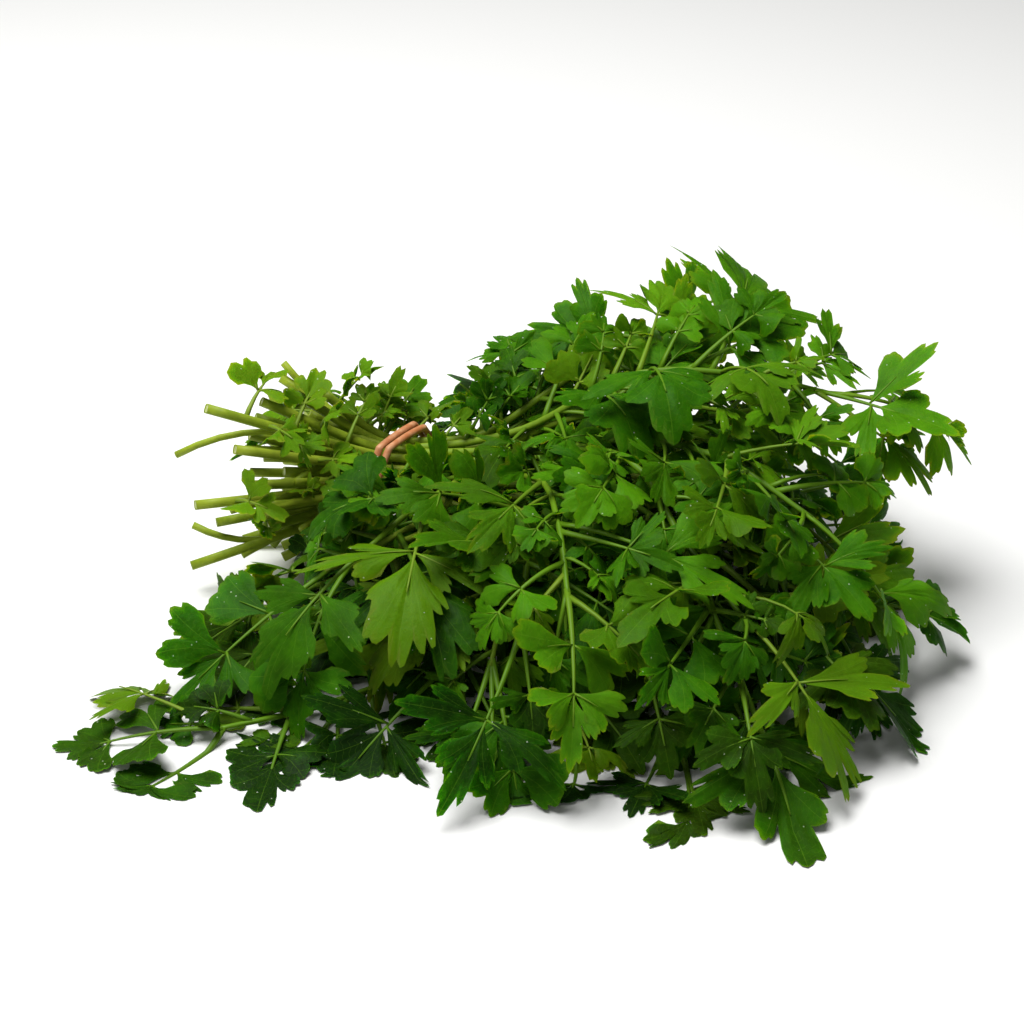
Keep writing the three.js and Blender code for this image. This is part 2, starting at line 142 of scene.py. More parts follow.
class Dice:
    """Repeatable draws from 0 to 1, a stream of their own for every set of whole-number keys."""

    WORD = 0xFFFFFFFF
    START = 0x2545F491
    KEY_STEP = 0x9E37
    KEY_FACTORS = (0x85EBCA6B, 0xC2B2AE35)
    DRAW_STEP = 0x6D2B79F5

    def __init__(self, *keys: int) -> None:
        """Starts the stream.

        Args:
            *keys: whole numbers that name the stream.
        """
        self.state = self.START
        for key in keys:
            self.state = self._times(self.state ^ (key + self.KEY_STEP), self.KEY_FACTORS[0])
            self.state = self._times(self.state ^ (self.state >> 15), self.KEY_FACTORS[1])

    def _times(self, left: int, right: int) -> int:
        """The product of two 32-bit words, as one."""
        return (left * right) & self.WORD

    def __call__(self) -> float:
        """The next draw, by the shifts and products of a common 32-bit mixer.

        Returns:
            A number from 0 to just under 1.
        """
        self.state = (self.state + self.DRAW_STEP) & self.WORD
        mixed = self._times(self.state ^ (self.state >> 15), self.state | 1)
        mixed ^= (mixed + self._times(mixed ^ (mixed >> 7), mixed | 61)) & self.WORD
        return (mixed ^ (mixed >> 14)) / (self.WORD + 1)

    def about(self, width: float) -> float:
        """A draw round zero, of a width."""
        return width * (self() - 0.5)


class Curve:
    """A smooth curve through points, walked by its knots or by its length."""

    TENSION = 0.5
    DIVISIONS = 200

    def __init__(self, points: Sequence[Vector], closed: bool = False) -> None:
        """Keeps the points, with one more beyond each end of an open curve.

        Args:
            points: the points that the curve passes through, in millimetres.
            closed: whether the curve runs back to its first point.
        """
        first, last = points[0], points[-1]
        if closed:
            self.knots = [last, *points, first, points[1]]
        else:
            self.knots = [2 * first - points[1], *points, 2 * last - points[-2]]
        self.spans = len(self.knots) - 3
        steps = [self.at(step / self.DIVISIONS) for step in range(self.DIVISIONS + 1)]
        self.lengths = [0.0]
        for before, after in pairwise(steps):
            self.lengths.append(self.lengths[-1] + (after - before).length)

    def _span(self, share: float) -> tuple[float, Vector, Vector, Vector, Vector]:
        """Where a share of the curve lies, and the four terms of the span that holds it.

        Args:
            share: the share of the curve's knots.

        Returns:
            The place within the span, its start, its slope there, its square and its cube term.
        """
        place = clamp(share) * self.spans
        span = min(int(place), self.spans - 1)
        before, start, end, after = self.knots[span:span + 4]
        leaving = (end - before) * self.TENSION
        arriving = (after - start) * self.TENSION
        square = -3 * start + 3 * end - 2 * leaving - arriving
        cube = 2 * start - 2 * end + leaving + arriving
        return place - span, start, leaving, square, cube

    def at(self, share: float) -> Vector:
        """The point at a share of the curve's knots."""
        place, start, slope, square, cube = self._span(share)
        return start + slope * place + square * place**2 + cube * place**3

    def tangent(self, share: float) -> Vector:
        """The curve's direction at a share of its knots."""
        place, _, slope, square, cube = self._span(share)
        return (slope + 2 * square * place + 3 * cube * place**2).normalized()

    def share_of_length(self, share: float) -> float:
        """The share of the knots at a share of the curve's length.

        Args:
            share: the share of the length.

        Returns:
            The share of the knots, for at() and tangent().
        """
        wanted = share * self.lengths[-1]
        step = min(bisect_right(self.lengths, wanted) - 1, self.DIVISIONS - 1)
        before, after = self.lengths[step], self.lengths[step + 1]
        return (step + (wanted - before) / (after - before)) / self.DIVISIONS


# ---- The growth rule: the stems ----


class FanEntry(NamedTuple):
    """The fan of foliage at one heading: how far it reaches, and the heights of its pile."""

    heading: float
    reach: float
    crest: float
    crest_place: float
    edge: float

    def mixed(self, other: "FanEntry", heading: float) -> "FanEntry":
        """The fan at a heading between this entry and another."""
        share = (heading - self.heading) / (other.heading - self.heading)
        return FanEntry(*(mix(mine, theirs, share) for mine, theirs in zip(self, other)))


@dataclass
class StemPlace:
    """One stem's place in the bunch and what its draws give it."""

    number: int
    row: int
    sideways: float
    upwards: float
    layer: float
    heading: float
    shortening: float
    trim: float
    splay: tuple[float, float]
    length: float | None = None
    tip_height: float | None = None


@dataclass
class Growth:
    """The rule by which the stems lie: through the tie in a hexagon, and out in a fan."""

    tie: Vector = field(default_factory=lambda: Vector((-36.0, 36.0, 26.0)))
    tie_heading: float = -12.0
    tie_run: float = 8.0
    tie_share: float = 1 / 3
    stems_in_row: tuple[int, ...] = (4, 5, 6, 7, 6, 5, 4)
    spacing: float = 4.0
    row_slant: float = 30.0
    radius_cut: float = 1.75
    radius_tie: float = 1.6
    radius_tip: float = 0.85
    cut_centre: Vector = field(default_factory=lambda: Vector((-77.0, 33.0, 30.0)))
    cut_heading: float = 64.0
    cut_splay: float = 2.6
    cut_length_spread: float = 0.6
    cut_stray: float = 2.0
    fan: tuple[FanEntry, ...] = (
        FanEntry(-128, 56, 34, 0.5, 5),
        FanEntry(-110, 92, 44, 0.5, 5),
        FanEntry(-80, 120, 58, 0.5, 5),
        FanEntry(-57, 162, 68, 0.5, 6),
        FanEntry(-36, 188, 74, 0.55, 14),
        FanEntry(-12, 150, 78, 0.62, 44),
        FanEntry(4, 158, 80, 0.68, 60),
        FanEntry(24, 118, 62, 0.7, 42),
        FanEntry(46, 66, 42, 0.6, 18),
    )
    edges_bottom: tuple[float, float] = (-112.0, 42.0)
    edges_top: tuple[float, float] = (-88.0, 14.0)
    root_height: float = 40.0
    cover: float = 9.0
    floor: float = 1.25
    tip_allowance: float = 34.0
    layer_shortening: float = 0.34
    turn_places: tuple[float, ...] = (0.24, 0.5, 0.76, 1.0)
    turn_end: float = 0.9
    settled_at: float = 0.42
    heading_spread: float = 8.0
    even_spread: float = 0.76
    seed: int = 8
    strays: dict[int, dict[str, float]] = field(default_factory=lambda: {
        1: {"heading": -112, "length": 112, "tip_height": 4},
        31: {"heading": -28},
        35: {"heading": -49, "length": 155, "tip_height": 12},
        36: {"heading": -6, "length": 130, "tip_height": 60},
    })

    def fan_at(self, heading: float) -> FanEntry:
        """The fan at any heading, between the two entries beside it.

        Args:
            heading: the heading, in degrees.

        Returns:
            The fan there.
        """
        following = next((i for i, entry in enumerate(self.fan) if entry.heading >= heading), 0)
        if heading >= self.fan[-1].heading:
            following = len(self.fan) - 1
        following = max(1, following)
        return self.fan[following - 1].mixed(self.fan[following], heading)

    def pile_height(self, fan: FanEntry, share: float) -> float:
        """The height of the top of the pile, from the tie over its crest to its edge.

        Args:
            fan: the fan at the heading in question.
            share: the share of the fan's reach.

        Returns:
            The height, in millimetres.
        """
        quarter = math.pi / 2
        if share < fan.crest_place:
            rise = math.sin(quarter * share / fan.crest_place)
            return mix(self.root_height, fan.crest, rise)
        beyond = min(1.0, (share - fan.crest_place) / (1 - fan.crest_place))
        return mix(fan.crest, fan.edge, 1 - math.cos(quarter * beyond))

    def places(self) -> list[StemPlace]:
        """Every stem's place, row by row from the bottom.

        Returns:
            The places, numbered from 1.
        """
        places: list[StemPlace] = []
        rows = len(self.stems_in_row)
        for row, count in enumerate(self.stems_in_row):
            layer = row / (rows - 1)
            first = mix(self.edges_bottom[0], self.edges_top[0], layer)
            last = mix(self.edges_bottom[1], self.edges_top[1], layer)
            for place in range(count):
                dice = Dice(self.seed, row, place)
                across = 2 * place / (count - 1) - 1
                spread = self.even_spread * across + (1 - self.even_spread) * across**3
                stem = StemPlace(
                    number=len(places) + 1,
                    row=row,
                    sideways=(place - (count - 1) / 2) * self.spacing,
                    upwards=(row - (rows - 1) / 2) * self.spacing
                    * math.cos(math.radians(self.row_slant)),
                    layer=layer,
                    heading=mix(first, last, (spread + 1) / 2) + dice.about(self.heading_spread),
                    shortening=dice(),
                    trim=dice.about(1),
                    splay=(dice.about(1), dice.about(1)),
                )
                places.append(replace(stem, **self.strays.get(stem.number, {})))
        return places

    def curve(self, stem: StemPlace) -> Curve:
        """The middle line of a stem, from its cut end through the tie to its tip.

        Args:
            stem: the stem's place and draws.

        Returns:
            The line.
        """
        at_tie = self.tie + level(self.tie_heading + 90) * stem.sideways + UP * stem.upwards
        cut_end = (
            self.cut_centre
            + level(self.cut_heading)
            * (stem.sideways * self.cut_splay + stem.splay[0] * self.cut_stray)
            + UP * (stem.upwards * self.cut_splay + stem.splay[1] * self.cut_stray)
        ).lerp(at_tie, stem.trim * self.cut_length_spread)
        cut_end.z = max(cut_end.z, self.floor)
        run = level(self.tie_heading) * self.tie_run
        points = [cut_end, at_tie - run, at_tie + run]
        fan = self.fan_at(stem.heading)
        shortened = 1 - self.layer_shortening * stem.layer * stem.shortening
        length = stem.length or (fan.reach - self.tip_allowance) * shortened
        for place in self.turn_places:
            heading = mix(self.tie_heading, stem.heading, min(1.0, place / self.turn_end))
            pile = self.pile_height(fan, place * length / fan.reach)
            layered = self.floor + stem.layer * (pile - self.cover)
            tip_height = layered if stem.tip_height is None else stem.tip_height
            height = mix(layered, tip_height, place**3)
            point = (
                self.tie
                + level(heading + 90) * stem.sideways
                + level(heading) * (self.tie_run + place * (length - self.tie_run))
            )
            point.z = mix(at_tie.z, height, smoothstep(place, 0, self.settled_at))
            points.append(point)
        return Curve(points)

    def radius(self, share: float) -> float:
        """A stem's radius, which tapers slowly to the tie and faster beyond it.

        Args:
            share: the share of the stem's curve.

        Returns:
            The radius, in millimetres.
        """
        if share < self.tie_share:
            return mix(self.radius_cut, self.radius_tie, share / self.tie_share)
        beyond = (share - self.tie_share) / (1 - self.tie_share)
        return mix(self.radius_tie, self.radius_tip, beyond)


# ---- The growth rule: the leaves ----


class LeafForm(NamedTuple):
    """A leaf's form: its pairs of side leaflets and its last leaflet."""

    pairs: tuple[float, ...]
    side_teeth: int
    side_length: float
    end_teeth: int
    end_root: float
    end_spread: float


@dataclass
class Leaflet:
    """One leaflet: where it leaves the rib, how it lies, and its edge as angles and shares."""

    side: int
    root: float
    heading: float
    length: float
    edge: list[tuple[float, float]]
    tilt: float
    curl: float


@dataclass
class LeafRule:
    """The rule by which a leaf's leaflets are drawn."""

    forms: tuple[LeafForm, ...] = (
        LeafForm((0.34, 0.6), 2, 0.42, 3, 0.63, 26),
        LeafForm((0.5,), 3, 0.46, 3, 0.54, 26),
        LeafForm((0.4,), 3, 0.5, 5, 0.46, 33),
        LeafForm((0.14,), 3, 0.7, 3, 0.24, 26),
    )
    common_forms: int = 3
    root_range: float = 0.03
    heading: Range = Range(60, 14)
    heading_per_pair: float = 8.0
    length: Range = Range(0.86, 0.22)
    shorter_per_pair: float = 0.14
    spread: float = 19.0
    tilt: Range = Range(-0.36, 0.9)
    curl: float = 0.6
    end_curl: float = 0.3
    notch: float = 0.7
    roundness: float = 0.2
    angle_range: float = 3.0
    reach: Range = Range(0.94, 0.12)

    def edge(self, teeth: int, spread: float, dice: Dice) -> list[tuple[float, float]]:
        """The fan of a leaflet's edge.

        Args:
            teeth: how many lobes the leaflet has.
            spread: the angle from its middle to its outer lobes.
            dice: the draws for the leaf's shape.

        Returns:
            An angle and a share of the leaflet's length for every tooth and notch.
        """
        edge = []
        for mark in range(2 * teeth - 1):
            place = mark / (teeth - 1) - 1
            share = self.notch if mark % 2 else 1 - self.roundness * place * place
            angle = place * spread + dice.about(self.angle_range)
            edge.append((angle, share * self.reach.at(dice())))
        return edge

    def leaflets(self, form: LeafForm, length: float, dice: Dice) -> list[Leaflet]:
        """The leaflets of one leaf, side pairs first and the last leaflet at the end.

        Args:
            form: the leaf's form.
            length: the leaf's length.
            dice: the draws for its shape.

        Returns:
            The leaflets.
        """
        leaflets = []
        for pair, place in enumerate(form.pairs):
            for side in (-1, 1):
                leaflets.append(Leaflet(
                    side=side,
                    root=(place + self.root_range * dice()) * length,
                    heading=side * (self.heading.at(dice()) - self.heading_per_pair * pair),
                    length=form.side_length * length * self.length.at(dice())
                    * (1 - self.shorter_per_pair * pair),
                    edge=self.edge(form.side_teeth, self.spread, dice),
                    tilt=self.tilt.at(dice()),
                    curl=self.curl * dice(),
                ))
        root = form.end_root * length
        edge = self.edge(form.end_teeth, form.end_spread, dice)
        leaflets.append(Leaflet(0, root, 0.0, length - root, edge, 0.0, self.end_curl * dice()))
        return leaflets


@dataclass
class Leaf:
    """One leaf as it lies: its root, its three directions, and how it bends and folds."""

    root: Vector
    forward: Vector
    side: Vector
    up: Vector
    length: float
    bend: float
    fold: float
    leaflets: list[Leaflet]
    thickness: float = 0.7
    clearance: float = 0.12
    lying_wave: float = 0.4

    def point(
        self,
        along_rib: float,
        across: float,
        leaflet: Leaflet | None = None,
        along: float = 0.0,
        lift: float = 0.0,
        ripple: float = 0.0,
    ) -> Vector:
        """A point of the bent blade.

        Args:
            along_rib: the place along the rib, from the root.
            across: the place across the rib.
            leaflet: the leaflet that the point is on, if any.
            along: the distance from that leaflet's root.
            lift: the height over the middle of the blade's thickness.
            ripple: how far the blade waves up or down there.

        Returns:
            The point, in millimetres.
        """
        angle = self.bend * along_rib / self.length
        radius = self.length / self.bend
        raised = self.fold * abs(across) + ripple
        if leaflet:
            raised += leaflet.tilt * along - leaflet.curl * along**2 / leaflet.length
        slope = math.copysign(self.fold, across) if across else 0.0
        lean = math.hypot(1, slope)
        height = raised + lift / lean
        forward = (radius + height) * math.sin(angle)
        upward = radius * (math.cos(angle) - 1) + height * math.cos(angle)
        point = (
            self.root
            + self.forward * forward
            + self.side * (across - lift * slope / lean)
            + self.up * upward
        )
        lying = self.clearance + self.lying_wave * abs(ripple)
        point.z = max(point.z, lying + (self.thickness if lift > 0 else 0.0))
        return point

    def on_leaflet(
        self, leaflet: Leaflet, angle: float, along: float, lift: float = 0.0, ripple: float = 0.0
    ) -> Vector:
        """A point of a leaflet.

        Args:
            leaflet: the leaflet.
            angle: the angle from the leaflet's middle, in degrees.
            along: the distance from its root.
            lift: the height over the middle of the blade's thickness.
            ripple: how far the blade waves up or down there.

        Returns:
            The point, in millimetres.
        """
        way = math.radians(angle)
        if leaflet.side:
            way = math.radians(leaflet.heading) - leaflet.side * way
        return self.point(
            leaflet.root + along * math.cos(way), along * math.sin(way), leaflet, along, lift,
            ripple,
        )


class Wish(NamedTuple):
    """How one leaf at a stem's tip lies in a way of its own."""

    heading: float
    pitch: float
    form: int
    length: float


@dataclass
class LeafPlaces:
    """The rule by which leaves stand on the stems and how each try at one lies."""

    growth: Growth
    rule: LeafRule
    length: float = 54.0
    places: tuple[float, ...] = (0.46, 0.64, 0.81, 0.985)
    low_rows: int = 2
    high_rows: int = 5
    tries: int = 90
    wide_tries: int = 30
    inward_from: tuple[float, float] = (-92.0, 14.0)
    shape_seed: int = 2
    try_seed: int = 3
    ridge_heading: float = 27.0
    ridge_from: float = -30.0
    ridge_to: float = 10.0
    ridge_lean: float = 0.7
    outward_lean: Range = Range(0.2, 0.45)
    place_range: float = 0.07
    branch_angle: float = 50.0
    turn: float = 50.0
    tip_pitch: float = 5.0
    side_pitch: float = 16.0
    pitch: tuple[float, float] = (12.0, 38.0)
    low_pitch_share: float = 0.35
    roll: tuple[float, float] = (44.0, 84.0)
    wished_turn: tuple[float, float] = (8.0, 28.0)
    wished_roll: tuple[float, float] = (10.0, 50.0)
    bend: Range = Range(15, 50)
    fold: Range = Range(0.05, 0.25)
    size: Range = Range(0.82, 0.36)
    smallest_try: float = 0.7
    wishes: dict[int, Wish] = field(default_factory=lambda: {
        1: Wish(-172, -2, 0, 50),
        35: Wish(-72, -14, 3, 47),
        36: Wish(-4, 4, 0, 52),
    })

    def slots(self, stem: StemPlace) -> list[int]:
        """The places along a stem where it has leaves: the low stems have fewer.

        Args:
            stem: the stem.

        Returns:
            The places' numbers, the tip's first.
        """
        slots = range(len(self.places) - 1, -1, -1)
        return [
            slot for slot in slots
            if not (stem.row < self.low_rows and slot % 2 == 0)
            and not (stem.row < self.high_rows and slot == 0)
        ]

    def outward(self, point: Vector) -> Vector:
        """The pile's outward direction: up over the middle, outwards at the edges.

        Args:
            point: a point in the pile.

        Returns:
            The direction.
        """
        away = Vector((point.x - self.growth.tie.x, point.y - self.growth.tie.y, 0.0))
        heading = math.degrees(math.atan2(away.y, away.x))
        entries = self.growth.fan
        fan = self.growth.fan_at(clamp(heading, entries[0].heading, entries[-1].heading))
        share = away.length / fan.reach
        ridge = smoothstep(heading, self.ridge_from, self.ridge_to)
        ridge *= -1 if heading < self.ridge_heading else 1
        return (
            away.normalized() * self.outward_lean.at(share**2)
            + level(heading + 90) * (self.ridge_lean * ridge)
            + UP
        ).normalized()

    def attempt(self, stem: StemPlace, curve: Curve, slot: int, attempt: int) -> Leaf:
        """One try at a leaf. Late tries lie more freely and are smaller.

        Args:
            stem: the stem that it leaves.
            curve: the stem's middle line.
            slot: the number of its place along the stem.
            attempt: the number of the try.

        Returns:
            The leaf as it lies, with its leaflets.
        """
        shape = Dice(self.shape_seed, stem.number, slot)
        dice = Dice(self.try_seed, stem.number, slot, attempt)
        at_tip = slot == len(self.places) - 1
        place = self.places[slot] + (0 if at_tip else dice.about(self.place_range))
        knots = curve.share_of_length(place)
        root, along = curve.at(knots), curve.tangent(knots)
        outward = self.outward(root)
        side = 1 if (stem.number + slot) % 2 == 0 else -1
        if stem.heading < self.inward_from[0]:
            side = 1
        elif stem.heading > self.inward_from[1]:
            side = -1
        late = min(1.0, attempt / self.wide_tries)
        wish = self.wishes.get(stem.number) if at_tip else None
        if wish:
            along, outward = level(wish.heading), UP
        turn = dice.about(mix(*self.wished_turn, late) if wish else self.turn)
        turn += 0 if at_tip else side * self.branch_angle
        pitch = wish.pitch if wish else (self.tip_pitch if at_tip else self.side_pitch)
        pitch += mix(*self.pitch, late) * (dice() - self.low_pitch_share)
        roll = dice.about(mix(*(self.wished_roll if wish else self.roll), late))
        across = outward.cross(along).normalized()
        forward = turned(across.cross(outward), outward, turn)
        forward = turned(forward, turned(across, outward, turn), -pitch)
        leaf_side = turned(outward.cross(forward).normalized(), forward, roll)
        form = self.rule.forms[wish.form if wish else int(self.rule.common_forms * shape())]
        length = wish.length if wish else self.length * self.size.at(shape())
        length *= mix(1, self.smallest_try, attempt / self.tries)
        bend = math.radians(self.bend.at(dice()))
        fold = self.fold.at(shape())
        return Leaf(
            root=root,
            forward=forward,
            side=leaf_side,
            up=forward.cross(leaf_side),
            length=length,
            bend=bend,
            fold=fold,
            leaflets=self.rule.leaflets(form, length, shape),
        )


# ---- Meshes ----


class Skin(IntEnum):
    """The materials of a leafy stem, in the order of its slots."""

    UPPER = 0
    UNDERSIDE = 1
    STALK = 2
    PITH = 3


class Tone(NamedTuple):
    """How one leaf's colour stands off the others: lighter, yellower and more faded."""

    light: float
    yellow: float
    fade: float

    # Lightness ranges deep in the pile and right out of it; the darker deep range is painted shade.
    SHADED_DEEP = Range(-0.3, 0.3)
    LIT_OPEN = Range(0.3, 0.62)
    YELLOWEST = 0.6
    YELLOW_RARITY = 4

    @classmethod
    def drawn(cls, dice: Dice, yellow: float = 0.0, openness: float = 1.0) -> "Tone":
        """A tone from a stream of draws: leaves deep in the pile get painted shade, a darker
        lightness.

        Args:
            dice: the draws.
            yellow: how yellow the leaf is at least.
            openness: how far the leaf is out of the pile, from 0 to about 1; low ones get painted
                shade.

        Returns:
            The tone.
        """
        # Painted shade: the less open the leaf, the darker the lightness that is drawn.
        light = Range(
            mix(cls.SHADED_DEEP.least, cls.LIT_OPEN.least, openness),
            mix(cls.SHADED_DEEP.range, cls.LIT_OPEN.range, openness),
        ).at(dice())
        return cls(light, clamp(yellow + cls.YELLOWEST * dice() ** cls.YELLOW_RARITY), dice())


class PieceMesh:
    """The growing mesh of one piece, with the attributes that its materials read."""

    def __init__(self, shift: Vector) -> None:
        """Starts an empty mesh.

        Args:
            shift: from the growth rule's origin to the frame's, in millimetres.
        """
        self.mesh = bmesh.new()
        self.shift = shift
        self.place = self.mesh.verts.layers.float_vector.new("leaf_place")
        self.tone = self.mesh.verts.layers.float_vector.new("leaf_tone")

    def grid(
        self,
        columns: int,
        rows: int,
        place: Callable[[int, int], Vector],
        mark: Callable[[int, int], tuple[float, float, float]],
        skin: Callable[[int], int],
        tone: Tone,
    ) -> list[bmesh.types.BMVert]:
        """Adds a grid and lays it over a form.

        Args:
            columns: cells across the grid.
            rows: cells along it.
            place: where the vertex of a column and row goes, in millimetres.
            mark: what the vertex says to its material.
            skin: the material of a column of cells.
            tone: the colour tone of the whole grid.

        Returns:
            The grid's vertices.
        """
        made = bmesh.ops.create_grid(
            self.mesh, x_segments=columns, y_segments=rows, size=1.0
        )["verts"]
        column_of = {}
        for vert in made:
            column = round((vert.co.x + 1) / 2 * columns)
            row = round((vert.co.y + 1) / 2 * rows)
            column_of[vert] = column
            vert.co = (place(column, row) + self.shift) * MM
            vert.co.z = max(vert.co.z, 0.0)
            vert[self.place] = mark(column, row)
            vert[self.tone] = tone
        for face in {face for vert in made for face in vert.link_faces}:
            face.material_index = skin(min(column_of[vert] for vert in face.verts))
            face.smooth = True
        return made

    def tube(
        self,
        middles: Sequence[Vector],
        rings: Sequence[Sequence[tuple[float, float]]],
        across: Vector,
        tone: Tone,
        marks: Sequence[float],
        skin: Skin = Skin.STALK,
        closed: bool = False,
    ) -> list[bmesh.types.BMVert]:
        """Adds a tube along a row of middles.

        Args:
            middles: the middle of every ring.
            rings: every ring's outline, as sideways and upwards distances from its middle.
            across: the direction that the sections' sideways line stays square to.
            tone: the colour tone of the tube.
            marks: what every ring says to the material.
            skin: its material.
            closed: whether the tube runs back to its first ring.

        Returns:
            The tube's vertices.
        """
        last = len(middles) - 1
        frames = []
        for ring, middle in enumerate(middles):
            if closed:
                way = middles[(ring + 1) % last] - middles[(ring - 1) % last]
            else:
                way = middles[min(ring + 1, last)] - middles[max(ring - 1, 0)]
            sideways = way.cross(across).normalized()
            frames.append((middle, sideways, sideways.cross(way).normalized()))

        sides = len(rings[0])

        def place(column: int, row: int) -> Vector:
            """The corner of one side on one ring.

            Args:
                column: the side.
                row: the ring.

            Returns:
                The corner, in millimetres.
            """
            middle, sideways, upwards = frames[row]
            aside, up = rings[row][column % sides]
            return middle + sideways * aside + upwards * up

        return self.grid(
            sides, last, place, lambda column, row: (0.0, marks[row], 0.0),
            lambda column: skin, tone,
        )

    def close(self, distance: float = 1e-6) -> list[bmesh.types.BMFace]:
        """Merges the seams, closes the open ends and turns the faces outwards.

        Args:
            distance: how far apart two vertices of a seam may be, in metres.

        Returns:
            The faces that close the ends.
        """
        bmesh.ops.remove_doubles(self.mesh, verts=self.mesh.verts[:], dist=distance)
        bmesh.ops.dissolve_degenerate(self.mesh, dist=distance, edges=self.mesh.edges[:])
        edges = [edge for edge in self.mesh.edges if edge.is_boundary]
        caps = bmesh.ops.holes_fill(self.mesh, edges=edges, sides=0)["faces"]
        for cap in caps:
            cap.material_index = Skin.STALK
        bmesh.ops.recalc_face_normals(self.mesh, faces=self.mesh.faces[:])
        for edge in self.mesh.edges:
            edge.smooth = len({face.material_index for face in edge.link_faces}) == 1
        return caps

    def piece(self, name: str, materials: Sequence[bpy.types.Material]) -> bpy.types.Object:
        """The finished piece.

        Args:
            name: its name.
            materials: its materials, in the order of the skins.

        Returns:
            An object at the origin.
        """
        data = bpy.data.meshes.new(name)
        self.mesh.to_mesh(data)
        self.mesh.free()
        for material in materials:
            data.materials.append(material)
        item = bpy.data.objects.new(name, data)
        bpy.context.scene.collection.objects.link(item)
        return item


class Detail(NamedTuple):
    """How finely a leaf is made: rows along a leaflet, teeth of a lobe, cells of a tooth."""

    rows: tuple[float, ...]
    teeth: int
    cells: int
    rib_sides: int
    rib_rings: int


